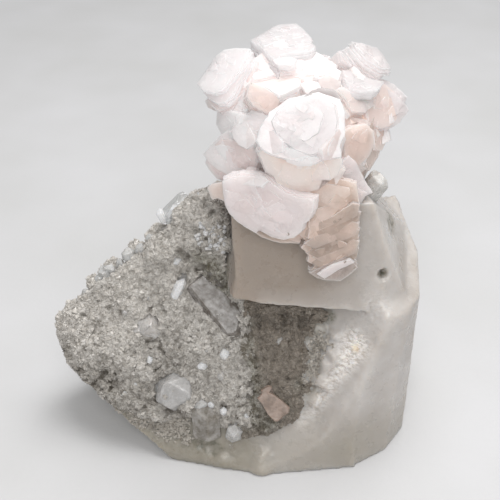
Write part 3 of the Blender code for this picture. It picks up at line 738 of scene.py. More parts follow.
        (255, 205)]),
    "skirt": ((19.7, -8.6, 64.4), (26, 2), 0, 1.8, 4, (-0.6, 0.5), (0.45, 0.1, 0.9), [
        (340, 163), (349, 156), (356, 162), (362, 174), (373, 193), (366, 196), (352, 194), (338, 192),
        (323, 190), (330, 178)]),
    "skirt_low": ((18.6, -9.5, 62.0), (20, -2), 0, 2.4, 5, (-0.5, 0.4), (0.3, 0.35, 0.88), [
        (320, 188), (340, 180), (368, 192), (362, 202), (350, 207), (338, 206), (322, 200)]),
    "cascade": ((15.4, -14.4, 57.8), (12, 8), 0, 1.2, 3, (0.8, -0.4), (0.05, 0.8, 0.96), [
        (299, 182), (330, 176), (357, 182), (360, 205), (358, 228), (357, 243), (352, 252), (343, 259),
        (326, 267), (311, 270.5), (315, 266), (307, 262), (309, 256), (301, 248), (306, 242), (298, 232),
        (303, 222)]),
    "cascade_tip": ((15.4, -16.2, 49.8), (10, -2), 0, 1.4, 3, (0.6, -0.6), (0.25, 0.75, 0.5), [
        (309, 273), (325, 265), (345, 256.5), (353, 262), (357.5, 267.5), (349, 275), (340, 281),
        (325, 280), (316, 278)]),
    "cascade_bar": ((15.4, -16.2, 50.6), (10, 2), 0.5, 0.6, 1, (0, 0), (0.7, 0.3, 0.75), [
        (317, 275), (333, 265), (351, 259), (355, 262), (338, 270), (324, 279)]),
    "flank_high": ((20.4, -2.6, 76.4), (34, 28), 0, 1.8, 4, (-0.5, 0.8), (0.45, 0.5, 0.92), [
        (337, 89), (342, 86), (348, 90), (357, 98), (367, 104), (366.5, 113), (352, 112.5), (345, 98)]),
    "flank_middle": ((20.2, -4.4, 72.9), (24, 34), 0, 1.8, 4, (-0.3, 0.8), (0.4, 0.6, 0.76), [
        (341, 118), (352, 117), (369, 120.5), (371, 125), (366, 129), (352, 132), (341, 132.5)]),
    "horn": ((24.0, 7.6, 81.8), (58, 50), 0, 0.9, 3, (-1.2, 0.9), (0.8, 0.15, 0.76), [
        (351, 41.5), (365, 44.5), (377, 48), (384, 56), (388, 63), (391.8, 69.5), (381, 69), (373, 64),
        (366, 60), (359, 52)]),
    "horn_second": ((24.0, 7.6, 81.8), (58, 50), -1.0, 1.4, 3, (-1.3, 0.8), (0.7, 0.25, 0.76), [
        (345, 47.5), (351, 47), (370, 60), (384, 69.5), (383.5, 77), (379, 79), (366, 70), (354, 60)]),
    "horn_third": ((24.0, 7.6, 81.8), (58, 50), -2.4, 2.6, 4, (-0.6, 0.6), (0.55, 0.35, 0.72), [
        (338, 51), (347, 51.5), (362, 62), (379, 76), (373, 82), (356, 74), (341, 61)]),
    "shelf": ((21.0, 1.4, 79.9), (50, 76), 0, 1.5, 3, (-0.3, 0.7), (0.95, 0.1, 0.74), [
        (341, 71), (354, 70), (362, 77), (372, 80), (384, 82), (380, 88), (375, 91), (362, 92),
        (352, 90.5), (347, 84)]),
    "shelf_edge": ((18.6, -0.6, 78.4), (-50, 40), 0, 0.9, 2, (0, 0.4), (0.85, 0.2, 0.85), [
        (340, 72), (344, 72), (352, 90), (354, 97), (350, 108), (345, 98)]),
    "fan": ((28.0, 6.0, 73.0), (44, 20), 0, 1.8, 4, (-0.9, 0.5), (0.6, 0.2, 0.78), [
        (380, 78), (393, 83), (402, 91), (407.5, 97), (405, 102), (409, 110), (407, 114), (402, 119),
        (400, 123), (392, 128), (386, 131), (372, 126), (368, 100), (370, 84)]),
    "fan_second": ((26.0, 3.6, 73.0), (50, 18), 0, 2.6, 4, (-0.8, 0.5), (0.35, 0.5, 0.86), [
        (372, 84), (384, 84), (396, 94), (401, 104), (401, 112), (396, 119), (390, 126), (380, 129),
        (368, 122), (364, 100)]),
}
# smaller plates between the large ones
smallPlates = {
    "collar_left": (seenAt(270, 142, -12.9), (-36, 16), 0.7, 1.6, 3, (0.2, 0.3), (0.75, 0.15, 0.92), [
        (257, 141), (264, 131), (274, 130), (283, 141), (283, 152), (271, 155), (262, 150)]),
    "collar_low": (seenAt(300, 157, -14.4), (-4, 0), 0.6, 1.6, 3, (0.0, 0.4), (0.85, 0.15, 1.0), [
        (282, 147), (296, 149), (310, 154), (320, 158), (312, 166), (298, 166), (286, 162)]),
    "collar_right": (seenAt(333, 148, -13.2), (38, 8), 0.8, 1.6, 3, (-0.2, 0.3), (0.5, 0.4, 0.8), [
        (321, 150), (331, 137), (339, 128), (344, 138), (342, 152), (335, 160), (323, 161)]),
    "collar_glint": (seenAt(338, 168, -11.6), (30, 24), 0.3, 1.2, 2, (-0.2, 0.3), (0.9, 0.15, 0.8), [
        (334, 160), (342, 158), (344, 166), (340, 174), (333, 176), (330, 168)]),
    "bib_tooth": (seenAt(325, 184, -12.6), (16, 16), 0.3, 1.4, 3, (-0.2, 0.4), (0.45, 0.4, 1.0), [
        (314, 182), (326, 174), (337, 175), (334, 184), (325, 188), (318, 196), (312, 192)]),
    "bib_left": (seenAt(276, 168, -12.4), (-22, 14), 0.3, 1.4, 3, (0.2, 0.4), (0.5, 0.35, 1.0), [
        (262, 158), (274, 158), (286, 166), (286, 178), (277, 183), (270, 176), (264, 170)]),
    "brow_under": ((6.5, 8.1, 85.2), (-8, 70), -2.4, 3.4, 6, (0.2, 0.5), (0.85, 0.2, 0.85), [
        (260, 54), (275, 52), (300, 52), (316, 51), (312, 61), (300, 66), (284, 67), (270, 66), (260, 62)]),
    "brow_front": (seenAt(284, 61, 0.9), (-8, 52), 0, 2.4, 4, (0.2, 0.5), (0.95, 0.2, 0.95), [
        (273, 60), (279, 58), (289, 57), (297, 59), (295, 64), (288, 66), (278, 65)]),
    "hood_gap": (seenAt(310, 87, -4.0), (10, 58), 0, 3.0, 5, (0.0, 0.6), (0.5, 0.4, 0.75), [
        (300, 84), (308, 80), (318, 82), (322, 88), (318, 94), (306, 95)]),
    "crown_bridge": (seenAt(288, 59, 4.0), (0, 62), 0, 2.4, 5, (0.0, 0.6), (0.8, 0.25, 0.85), [
        (262, 55), (282, 53), (300, 51), (315, 51), (312, 61), (296, 68), (276, 68), (264, 64)]),
    "flank_gap": (seenAt(358, 102, -1.0), (36, 34), 0, 2.6, 5, (-0.3, 0.6), (0.5, 0.45, 1.0), [
        (346, 92), (358, 94), (372, 96), (374, 106), (362, 114), (350, 110)]),
    "beige_front": ((20.6, -6.4, 71.0), (38, 10), 0, 3.4, 5, (0.5, 0.3), (0.15, 0.6, 0.76), [
        (342, 132), (352, 126), (366, 123), (373, 130), (374, 144), (368, 157), (359, 165), (350, 166),
        (345, 159), (343, 148)]),
    "beige_low": ((19.0, -5.0, 67.0), (50, 0), 0, 2.0, 4, (0.4, 0.3), (0.1, 0.7, 0.86), [
        (350, 158), (362, 160), (370, 158), (369, 168), (364, 178), (356, 174)]),
}
# name, middle, facing, depth, sheets, slide, tint and outline, with lengths in mm
beigeFans = [
    ("beige_fan", (23.8, 0.0, 68.2), (64, 6), 6.6, 6, (0.10, -0.06), (0.12, 0.8, 0.86),
     [(-5.5, -3.0), (-5.0, 1.5), (-2.6, 4.2), (2.6, 5.2), (5.6, 3.0), (6.0, -2.6), (2.4, -5.0),
      (-3.0, -5.4)]),
    ("beige_fan_back", (25.8, 4.0, 68.8), (66, 10), 5.0, 5, (0.10, 0.05), (0.2, 0.65, 0.86),
     [(-5.0, -2.6), (-4.2, 2.0), (-1.0, 4.4), (3.6, 4.0), (5.4, 0.6), (4.0, -3.6), (-1.0, -4.6)]),
]


def slatRows(count=8):
    # the cascade's thin plates, each a little lower, nearer and narrower than the one above
    for k in range(count):
        left, low, high = 300 + 1.7 * k + k % 2 * 3, 234 + 4.8 * k, 203 + 6.0 * k + k % 3
        outline = [(left, low), (left + 11, low - 8), (332, high + 14), (353, high), (360, high + 2),
                   (357, high + 13), (340, high + 21), (left + 10, low + 5)]
        place = (15.4, -14.9 - 0.10 * k, 58.6 - 0.95 * k)
        facing = (4 + 3 * (k % 3), 10 - 3 * (k % 2))
        tint = ((0.10, 0.04, 0.14)[k % 3], (0.90, 0.94, 0.87)[k % 3], 0.84)
        yield f"slat_{k}", (place, facing, 0.05, 0.8, 2, (0.4, -0.3), tint, outline)


def directionOf(azimuth, elevation):
    a, e = math.radians(azimuth), math.radians(elevation)
    return Vector((math.sin(a) * math.cos(e), -math.cos(a) * math.cos(e), math.sin(e)))


def standOn(middle, direction, turn=0.0):
    # a frame whose Z runs along the direction
    aim = Vector(direction).normalized().to_track_quat("Z", "Y").to_matrix().to_4x4()
    return Matrix.Translation(Vector(middle)) @ aim @ Matrix.Rotation(turn, 4, "Z")


def rounded(numbers, digits):
    return tuple(round(number, digits) for number in numbers)


def tracedStack(name, place, facing, lift, depth, sheets, slide, tint, outline):
    # from pixels to mm on the plate's own plane, rounded to what tracing can give
    aim = directionOf(*facing)
    middle = Vector(place) + aim * lift
    stand = standOn(middle, aim)

    def onPlate(across, down):
        ray = lookAlong(across, down)
        away = (np.array(middle) - eyePlace) @ np.array(aim) / (ray @ np.array(aim))
        return stand.inverted() @ Vector(eyePlace + away * ray)

    corners = [onPlate(*pixel) for pixel in outline]
    centreX = sum(corner.x for corner in corners) / len(corners)
    centreY = sum(corner.y for corner in corners) / len(corners)
    moved = onPlate(outline[0][0] + 2 * slide[0], outline[0][1] + 2 * slide[1])
    slideHere = ((moved.x - corners[0].x) / 2, (moved.y - corners[0].y) / 2)
    outlineHere = [rounded((corner.x - centreX, corner.y - centreY), 1) for corner in corners]
    return (name, rounded(stand @ Vector((centreX, centreY, 0)), 1), facing, depth, sheets,
            rounded(slideHere, 2), tint, outlineHere)


def crystalOutline(halfWidth, halfHeight, turn, dice, short=0.86):
    # a three-fold six-cornered plate, uneven, with a corner cut here and there
    corners = []
    for index in range(6):
        reach = (1.06 if index % 2 else short) * dice.uniform(0.9, 1.08)
        cut = 0.13 if dice.random() < 0.25 else 0.0
        for side in ((-1, 1) if cut else (0,)):
            angle = math.radians(60 * index + turn) + side * cut
            corners.append((halfWidth * reach * math.cos(angle), halfHeight * reach * math.sin(angle)))
    return corners


def steppedOutline(corners, tooth, dice, lengths=(1.4, 3.4)):
    # short steps of these lengths in mm along each side, as where layers end beside one another
    outline = []
    for (x1, y1), (x2, y2) in zip(corners, corners[1:] + corners[:1]):
        length = max(0.01, math.hypot(x2 - x1, y2 - y1))
        outX, outY = (y2 - y1) / length, (x1 - x2) / length
        steps = int(length / dice.uniform(*lengths))
        outline.append((x1, y1))
        offset = 0.0
        for step in range(steps):
            share = (step + dice.uniform(0.35, 0.65)) / steps
            x, y = x1 + (x2 - x1) * share, y1 + (y2 - y1) * share
            following = dice.uniform(-tooth, tooth)
            outline.append((x + outX * offset, y + outY * offset))
            outline.append((x + outX * following, y + outY * following))
            offset = following
    return outline


def plateShape(outline, thickness, inset, depth=0.0):
    # a flat plate with slanted sides that meet at mid height; it stores how deep each point lies
    middleX = sum(x for x, y in outline) / len(outline)
    middleY = sum(y for x, y in outline) / len(outline)
    reach = sum(math.hypot(x - middleX, y - middleY) for x, y in outline) / len(outline)
    shape = bmesh.new()
    rings = []
    for level, size in ((-0.5, 1 - inset / reach), (0.0, 1.0), (0.5, 1 - inset / reach)):
        ring = [(middleX + (x - middleX) * size, middleY + (y - middleY) * size) for x, y in outline]
        rings.append([shape.verts.new((x, y, level * thickness)) for x, y in ring])
    count = len(outline)
    for low, high in zip(rings, rings[1:]):
        for index in range(count):
            after = (index + 1) % count
            shape.faces.new((low[index], low[after], high[after], high[index]))
    caps = [shape.faces.new(rings[2]), shape.faces.new(rings[0][::-1])]
    bmesh.ops.triangulate(shape, faces=caps)
    layers = shape.loops.layers.uv.new("layers")
    for face in shape.faces:
        for loop in face.loops:
            loop[layers].uv = (loop.vert.co.z + depth, 0.0)
    return shape


def tintPlate(shape, tint):
    # painted highlight: the rims are paler than the flat faces
    shape.normal_update()
    for name, value in zip(("paleness", "warmth", "brightness"), tint):
        layer = shape.faces.layers.float.new(name)
        for face in shape.faces:
            face[layer] = value
            if name == "paleness" and abs(face.normal.z) < 0.95:
                face[layer] = min(1.0, value + rosette["rimPaintedHighlight"])


def plateStack(name, middle, facing, depth, sheets, slide, tint, corners):
    # the outer sheet and the ones behind it
    dice = random.Random(name)
    stand = standOn(middle, directionOf(*facing))
    thin = depth / sheets
    overlap = rosette["overlap"]
    jumpX, jumpY, grown = 0.0, 0.0, 0.0
    for sheet in range(sheets):
        if sheet and dice.random() < rosette["jumpShare"]:
            angle = dice.uniform(0, 2 * math.pi)
            jumpX += rosette["jump"] * math.cos(angle)
            jumpY += rosette["jump"] * math.sin(angle)
            grown += dice.uniform(0.0, 0.04)
        size = 1 + grown + dice.uniform(-0.012, 0.012)
        ragged = steppedOutline([(x * size, y * size) for x, y in corners], rosette["tooth"], dice)
        shape = plateShape(ragged, thin * overlap, rosette["inset"], sheet * overlap)
        shift = (slide[0] * sheet + jumpX, slide[1] * sheet + jumpY, -thin * (sheet + 0.5))
        tintPlate(shape, (tint[0] * dice.uniform(0.85, 1.0), *tint[1:]))
        shape.transform(stand @ Matrix.Translation(shift))
        yield shape


def insideOutline(x, y, corners):
    inside = False
    for (x1, y1), (x2, y2) in zip(corners, corners[1:] + corners[:1]):
        if (y1 > y) != (y2 > y) and x < x1 + (y - y1) * (x2 - x1) / (y2 - y1):
            inside = not inside
    return inside


def growthSteps(name, middle, facing, depth, sheets, slide, tint, corners):
    # low tilted plates inside a large face's outline, as crystals grown side by side leave them
    dice = random.Random(name + " steps")
    reach = max(math.hypot(x, y) for x, y in corners)
    if reach < rosette["leastStepped"]:
        return
    for index in range(int(reach * rosette["stepsPerMm"])):
        for _ in range(rosette["stepTries"]):
            x, y = dice.uniform(-reach, reach), dice.uniform(-reach, reach)
            width = reach * dice.uniform(*rosette["stepSize"])
            outline = crystalOutline(width, width * dice.uniform(0.6, 1.0), dice.uniform(0, 120), dice, 0.7)
            if all(insideOutline((x + a) * 1.02, (y + b) * 1.02, corners) for a, b in outline):
                break
        else:
            continue
        lean = (facing[0] + dice.uniform(-6, 6), facing[1] + dice.uniform(-4, 6))
        spot = standOn(middle, directionOf(*facing)) @ Vector((x, y, dice.uniform(*rosette["stepRise"])))
        across = (dice.uniform(-0.1, 0.1), dice.uniform(-0.15, 0.0))
        paleness = min(1.0, tint[0] * dice.uniform(0.8, 1.25))
        stepTint = (paleness, tint[1] * dice.uniform(0.8, 1.1), tint[2] * dice.uniform(0.93, 1.06))
        yield (f"{name}_step_{index}", spot, lean, rosette["stepDepth"], rosette["stepSheets"], across,
               stepTint, outline)


def hiddenStacks():
    # large stacks round the back, as in the solid
    dice = random.Random(rosette["hiddenSeed"])
    heart = Vector(rosette["hiddenHeart"])
    for index in range(rosette["hidden"]):
        azimuth = 180 + 80 * math.sin(index * goldenAngle)
        elevation = 62 - 88 * (index + 0.5) / rosette["hidden"]
        middle = heart + directionOf(azimuth, elevation) * dice.uniform(*rosette["hiddenAway"])
        facing = (azimuth + dice.uniform(-22, 22), elevation + dice.uniform(-16, 18))
        width = dice.uniform(*rosette["hiddenWidth"])
        corners = crystalOutline(width, width * dice.uniform(0.78, 1.0), index * 37, dice)
        slide = (dice.uniform(-0.12, 0.12), dice.uniform(-0.2, 0.05))
        yield (f"back_{index}", middle, facing, rosette["hiddenDepth"], rosette["hiddenSheets"], slide,
               rosette["hiddenTints"][index % 3], corners)


def fillerStacks():
    # smaller stacks that close the gaps between the large ones
    dice = random.Random(rosette["fillerSeed"])
    heart, size = Vector(rosette["heart"]), Vector(rosette["heartSize"])
    for index in range(rosette["fillers"]):
        azimuth = math.degrees(index * goldenAngle)
        elevation = math.degrees(math.asin(1 - 1.5 * (index + 0.5) / rosette["fillers"]))
        away = directionOf(azimuth, elevation)
        middle = heart + Vector(a * s for a, s in zip(away, size)) * dice.uniform(1.0, 1.1)
        facing = (azimuth + dice.uniform(-32, 32), elevation + dice.uniform(-20, 30))
        width = dice.uniform(*rosette["fillerWidth"])
        corners = crystalOutline(width, width * dice.uniform(0.7, 1.0), dice.uniform(0, 60), dice)
        slide = (dice.uniform(-0.1, 0.1), dice.uniform(-0.2, 0.1))
        tint = (dice.uniform(0.1, 0.6), dice.uniform(0.2, 0.8), 1.0)
        yield (f"filler_{index}", middle, facing, rosette["fillerDepth"], rosette["fillerSheets"], slide,
               tint, corners)


def makeRosette():
    traced = [*largePlates.items(), *slatRows(), *smallPlates.items()]
    stacks = [tracedStack(name, *row) for name, row in traced] + beigeFans + list(hiddenStacks())
    steps = [step for stack in stacks for step in growthSteps(*stack)]
    plates = newGroup("plates")
    for stack in stacks + list(fillerStacks()) + steps:
        for shape in plateStack(*stack):
            addObject("plate", shape, plates)
    heart = bmesh.new()
    bmesh.ops.create_icosphere(heart, subdivisions=3, radius=1)
    heart.transform(Matrix.Translation(rosette["heart"]) @ Matrix.Diagonal((*rosette["heartSize"], 1)))
    heart.loops.layers.uv.new("layers")
    tintPlate(heart, rosette["heartTint"])
    obj = growTogether(addObject("rosette_plates", heart), plates)
    obj.data.shade_flat()
    finishPiece(obj, looks["calcite"], "pink_calcite", "calcite_rosette")


makeRosette()


# The milky quartz: the solid's own faces, worn, chipped and slightly uneven.

quartz = {
    "voxel": 0.47,
    "smoothing": {"worn all over": 3, "worn edges": 60},      # passes
    "wornReach": 3.6,        # how far from leftEdge and softRidge the edges are worn, mm
    "waves": ((0.14, 4.5, 2), (0.04, 1.1, 6)),       # rise and width of the unevenness, mm, and its seed
    "backSteps": ((2.2, 8.0, 3), (1.0, 3.2, 5)),     # the same for the steps on the back
    "broken": [              # centre, reach, depth and width of the chips, mm
        ((21.4, -15.8, 28.6), 6.0, 0.7, 1.3), ((19.4, -14.6, 32.0), 5.0, 0.5, 1.2),
        ((18.4, -16.6, 22.6), 5.0, 0.6, 1.2), ((15.4, -17.8, 17.0), 5.0, 0.5, 1.1),
        ((12.4, -18.9, 12.8), 4.5, 0.4, 1.1), ((24.5, -13.0, 36.0), 5.0, 0.6, 1.6),
        ((-4.0, -23.5, 6.0), 6.0, 0.5, 1.8), ((2.6, -22.6, 4.0), 4.0, 0.6, 1.4),
        ((29.0, -2.0, 50.0), 6.0, 0.8, 1.5), ((-19.0, -17.5, 6.5), 8.0, 0.6, 1.6),
        ((20.0, 18.0, 40.0), 12.0, 0.9, 2.6), ((-2.0, 20.0, 24.0), 14.0, 0.8, 3.0),
        ((-22.0, 14.0, 18.0), 12.0, 0.8, 2.6), ((10.0, 18.0, 12.0), 10.0, 0.8, 2.2),
        ((34.0, 12.0, 20.0), 10.0, 0.6, 2.4),
    ],
    "bulges": [              # centre, reach, rise
        ((2.4, -23.9, 1.6), 3.4, 0.9), ((2.6, -22.6, 4.2), 2.6, 0.7), ((-6.0, -23.0, 2.4), 3.0, 0.5),
        ((26.8, -11.6, 44.1), 1.7, -2.0), ((16.1, -15.3, 22.6), 1.1, -1.6),
        ((14.4, -16.0, 20.0), 0.9, -1.0), ((-8.2, -21.8, 5.0), 2.6, -1.4), ((-10.6, -21.3, 5.2), 2.4, -1.2),
        ((-9.0, -1.0, 41.0), 3.0, -0.8),
    ],
    "leftEdge": [            # the upper crystal's front face goes on to here, and is worn round along it
        (-4.1, -9.0, 56.6), (-3.9, -9.9, 53.4), (-3.7, -10.7, 50.4), (-3.5, -11.6, 47.7),
        (-3.2, -12.4, 44.6), (-3.0, -13.3, 41.5), (-2.4, -13.8, 39.7), (-1.0, -14.0, 38.6),
    ],
    "stripCorners": [(2.4, -14.0, 38.3), (2.4, -8.1, 59.2)],      # where that strip starts on the face
    "stripSlope": (0.12, 1, 0.28),           # where it goes back to, for each mm of its depth
    "stripDepth": 5,
    "softRidge": [           # the right crystal's blunt ridge
        (29.4, -13.0, 37.6), (28.2, -14.6, 36.6), (27.2, -15.9, 33.3), (25.8, -17.1, 29.9),
        (24.2, -18.4, 26.0), (22.6, -19.6, 22.1), (20.8, -20.7, 18.0), (18.7, -21.4, 13.2),
    ],
    # frost, brown, stain and the painted glint: centre, reach, strength; the brown and stain spots also carry
    # painted shade
    "frost": [               # whiter, hackly breaks
        ((21.4, -15.8, 28.8), 5.0, 1.3), ((19.8, -15.2, 32.0), 3.6, 0.6), ((20.2, -16.4, 25.2), 3.6, 0.9),
        ((18.4, -16.8, 22.6), 3.6, 0.9), ((16.6, -17.4, 19.4), 3.4, 0.7), ((14.8, -18.0, 16.4), 3.4, 0.7),
        ((13.1, -18.7, 13.7), 3.2, 0.6), ((10.6, -19.5, 11.6), 3.2, 0.5), ((2.6, -22.6, 4.0), 2.4, 0.5),
        ((25.5, -12.6, 38.0), 5.0, 0.25),
    ],
    # brown spots: partly the quartz's own brown, partly painted shade in the low band and over the blocks by
    # the pocket
    "brown": [
        ((-9.0, -20.5, 8.0), 5.0, 0.8), ((-19.0, -17.5, 6.5), 9.0, 0.6), ((-6.0, -3.0, 38.0), 6.0, 0.9),
        ((-30.0, -11.0, 12.0), 12.0, 1.0), ((24.0, -20.0, 12.0), 7.0, 0.18), ((28.8, -1.6, 50.6), 4.0, 0.4),
        ((13.8, -11.0, 28.0), 5.0, 1.2), ((13.4, -13.6, 22.0), 5.0, 1.1), ((12.6, -16.0, 17.0), 4.6, 1.0),
        ((20.0, -21.0, 6.0), 9.0, 0.35), ((-14.0, -20.5, 6.0), 10.0, 1.0), ((-24.0, -15.5, 9.0), 9.0, 0.8),
        ((-4.0, -22.0, 6.0), 6.0, 0.5),
    ],
    # dark stains, partly real and partly painted shade: in the holes, the deep gap by the pocket, the recess
    # beside the upper crystal and the low band
    "stain": [
        ((-14.0, -20.2, 6.6), 4.0, 0.9), ((-17.4, -18.8, 8.6), 4.0, 0.9), ((-11.0, -21.0, 5.4), 3.0, 0.7),
        ((28.8, -1.6, 50.6), 4.0, 0.9), ((26.8, -11.6, 44.1), 1.4, 4.0), ((16.1, -15.3, 22.6), 0.9, 4.0),
        ((14.4, -16.0, 20.0), 0.8, 3.0), ((-8.2, -21.8, 5.0), 2.8, 4.0), ((-10.6, -21.3, 5.2), 2.4, 3.0),
        ((-6.2, -22.2, 4.8), 2.0, 2.0), ((-9.0, -1.0, 41.0), 3.5, 2.5), ((-4.4, -5.6, 37.0), 3.4, 1.6),
        ((-4.5, -4.5, 41.0), 3.0, 0.9), ((14.0, -9.6, 32.2), 2.4, 3.0), ((16.6, -10.0, 32.2), 2.2, 3.0),
        ((-9.6, -21.6, 5.0), 2.6, 1.2), ((-30.0, -12.0, 12.0), 10.0, 0.7),
    ],
    # a painted orange glint on the broken zone
    "glow": [((21.3, -16.2, 28.6), 1.3, 1.2)],
    # painted shade: edgeShade darkens the upper crystal's left edge over its highlight, and leftWall its left
    # side
    "edgeShade": (4.2, 0.8),                 # reach and strength of the shade along leftEdge
    "leftWall": ((-3.0, -9.0, 45.0), 14.0),  # centre and reach of the shade on the upper crystal's side
    "bare": ((-8.2, -21.8, 5.0), 3.0),       # the dark hole in the low band, where no grains grow
    # where a painted shade or the grains start and stop growing, upwards, downwards or to the left, mm
    "dimUp": (36, 42),
    "dimLeft": (23, 13),
    "lowShadeDown": (16, 4),
    "lowShadeLeft": (6, -2),
    "undersideLeft": (4, -4),
    "stainShadeLeft": (2, -6),
    "backGrainsDown": (42, 32),
    "pointsSunk": 4.0,       # how far the points on the back go into the quartz, mm
    "points": [              # crystal points on the back: place, direction, radius, length
        ((-19.0, 16.5, 20.0), (-0.25, 0.9, 0.45), 3.4, 6.5),
        ((-24.0, 14.0, 12.0), (-0.4, 0.9, 0.2), 2.6, 5.0),
        ((-12.0, 18.5, 9.0), (0.1, 0.95, 0.3), 2.8, 5.5), ((4.0, 19.0, 16.0), (0.1, 0.9, 0.4), 3.6, 6.0),
        ((9.0, 19.5, 28.0), (0.3, 0.85, 0.5), 2.8, 6.0), ((-4.0, 19.0, 30.0), (-0.2, 0.85, 0.5), 2.4, 5.0),
        ((22.0, 19.0, 12.0), (0.3, 0.9, 0.3), 3.2, 6.0), ((30.0, 15.0, 24.0), (0.5, 0.8, 0.4), 2.6, 5.0),
        ((16.0, 19.5, 38.0), (0.2, 0.8, 0.6), 2.4, 5.0), ((0.0, 20.0, 5.0), (0.0, 0.95, 0.3), 2.2, 4.0),
    ],
    "blocks": [              # broken blocks between the pocket and the right crystal: centre, size, mm
        ((14.8, -10.2, 28.6), 2.6), ((13.4, -11.2, 25.8), 3.0), ((16.4, -11.6, 27.0), 3.2),
        ((13.0, -12.8, 22.8), 2.4), ((15.8, -13.4, 23.4), 3.4), ((12.6, -14.4, 19.6), 2.6),
        ((14.8, -15.0, 19.4), 3.2), ((11.6, -16.4, 15.8), 2.6), ((13.6, -16.6, 15.6), 3.0),
        ((18.2, -12.2, 28.6), 2.2), ((18.0, -14.0, 25.6), 2.8),
    ],
    "grains": [              # right, up, reach, strength on the left face
        (-9.3, 9.7, 4.0, 1.0), (-5.5, 8.0, 4.0, 1.0), (-13.0, 11.0, 3.0, 0.9), (-3.0, 6.0, 3.4, 1.0),
        (-8.0, 6.4, 3.0, 0.8), (-1.0, 4.4, 2.4, 0.8), (-1.6, 9.6, 3.0, 1.0), (9.0, 5.5, 2.5, 0.4),
        (25.8, 28.5, 3.0, 0.8), (25.2, 25.6, 3.0, 0.8), (24.2, 22.0, 3.0, 0.8), (23.2, 18.5, 3.0, 0.8),
        (21.2, 15.0, 2.8, 0.7), (-12.0, 7.8, 4.4, 1.0), (-16.0, 9.6, 4.0, 0.9), (-6.0, 5.2, 3.6, 0.8),
    ],
    # look, slot, least and largest size in mm, how many per square mm, lean, seed
    "lowGrains": ("low", "druse", (0.4, 0.9), 9.0, 1.5, 5),
    "backGrains": ("druse", "druse", (0.5, 1.2), 2.6, 1.4, 9),
}


def paint(obj, name, points, spots, extra=0.0):
    total = np.zeros(len(points)) + extra
    for centre, reach, strength in spots:
        total += strength * near(points, centre, reach)
    storeValue(obj, name, np.clip(total, 0, 1))


def markWorn(obj):
    # the vertices near the worn edges, for the second smoothing
    group = obj.vertex_groups.new(name="worn")
    points = pointsOf(obj)[0]
    share = np.zeros(len(points))
    for centre in quartz["leftEdge"] + quartz["softRidge"]:
        share = np.maximum(share, near(points, centre, quartz["wornReach"]))
    for index in np.nonzero(share > 0.05)[0]:
        group.add([int(index)], float(share[index]), "REPLACE")
    return group.name


def sliceShape(shape, outward, point):
    everything = shape.verts[:] + shape.edges[:] + shape.faces[:]
    cut = bmesh.ops.bisect_plane(shape, geom=everything, dist=1e-5, plane_co=point, plane_no=outward,
                                 clear_outer=True)
    rim = [piece for piece in cut["geom_cut"] if isinstance(piece, bmesh.types.BMEdge)]
    if rim:
        bmesh.ops.holes_fill(shape, edges=rim)


def blockShape(size, dice, cuts=12):
    # an irregular block, cut by planes from all sides
    shape = bmesh.new()
    bmesh.ops.create_cube(shape, size=4 * size)
    for index in range(cuts):
        level = 1 - 2 * (index + 0.5) / cuts
        angle = index * goldenAngle + dice.uniform(-0.3, 0.3)
        flat = math.sqrt(1 - level * level)
        away = Vector((flat * math.cos(angle), flat * math.sin(angle), level))
        sliceShape(shape, away, away * size * dice.uniform(0.62, 0.95))
    return shape


def crystalShape(foot, direction, radius, length, squeeze, turn, dice, least=0.68):
    # six uneven sides and six uneven end faces, cut from a block
    shape = bmesh.new()
    bmesh.ops.create_cube(shape, size=4 * length + 4 * radius)
    sliceShape(shape, (0, 0, -1), (0, 0, 0))
    for index in range(6):
        angle = math.radians(60 * index)
        side = Vector((math.cos(angle), math.sin(angle), 0))
        sliceShape(shape, side, side * radius * 0.87 * dice.uniform(least, 1.08))
        slope = Vector((math.cos(angle) * 0.66, math.sin(angle) * 0.66, 0.75))
        sliceShape(shape, slope, (0, 0, length * dice.uniform(0.90, 1.12)))
    bmesh.ops.remove_doubles(shape, verts=shape.verts, dist=0.02)
    bmesh.ops.scale(shape, vec=(1, squeeze, 1), verts=shape.verts)
    bmesh.ops.bevel(shape, geom=shape.edges[:], offset=0.05 * radius, segments=1, affect="EDGES")
    shape.transform(standOn(foot, direction, turn))
    return shape


def addShape(body, lump):
    mesh = bpy.data.meshes.new("lump")
    lump.to_mesh(mesh)
    lump.free()
    body.from_mesh(mesh)
    bpy.data.meshes.remove(mesh)


def edgeShape():
    # the strip of quartz between the upper crystal's front face and its left edge
    strip = bmesh.new()
    slope = Vector(quartz["stripSlope"])
    for point in quartz["leftEdge"] + quartz["stripCorners"]:
        strip.verts.new(point)
        strip.verts.new(Vector(point) + slope * quartz["stripDepth"])
    bmesh.ops.convex_hull(strip, input=strip.verts)
    return strip


def quartzBody():
    body = shapeOfNode("milky_quartz")
    for index, (centre, size) in enumerate(quartz["blocks"]):
        block = blockShape(size, random.Random(index + 21))
        block.transform(Matrix.Translation(centre) @ Matrix.Rotation(index * 1.1, 4, "X"))
        addShape(body, block)
    addShape(body, edgeShape())
    sunk = quartz["pointsSunk"]
    for index, (place, direction, radius, length) in enumerate(quartz["points"]):
        foot = Vector(place) - Vector(direction).normalized() * sunk
        dice = random.Random(index + 60)
        addShape(body, crystalShape(foot, direction, radius, length + sunk, 0.9, index * 0.8, dice))
    obj = addObject("milky_quartz_body", body)
    remesh(obj, quartz["voxel"])
    for name, passes in quartz["smoothing"].items():
        obj.modifiers.new(name, "SMOOTH").iterations = passes
    obj.modifiers["worn edges"].vertex_group = markWorn(obj)
    applyModifiers(obj)
    return obj


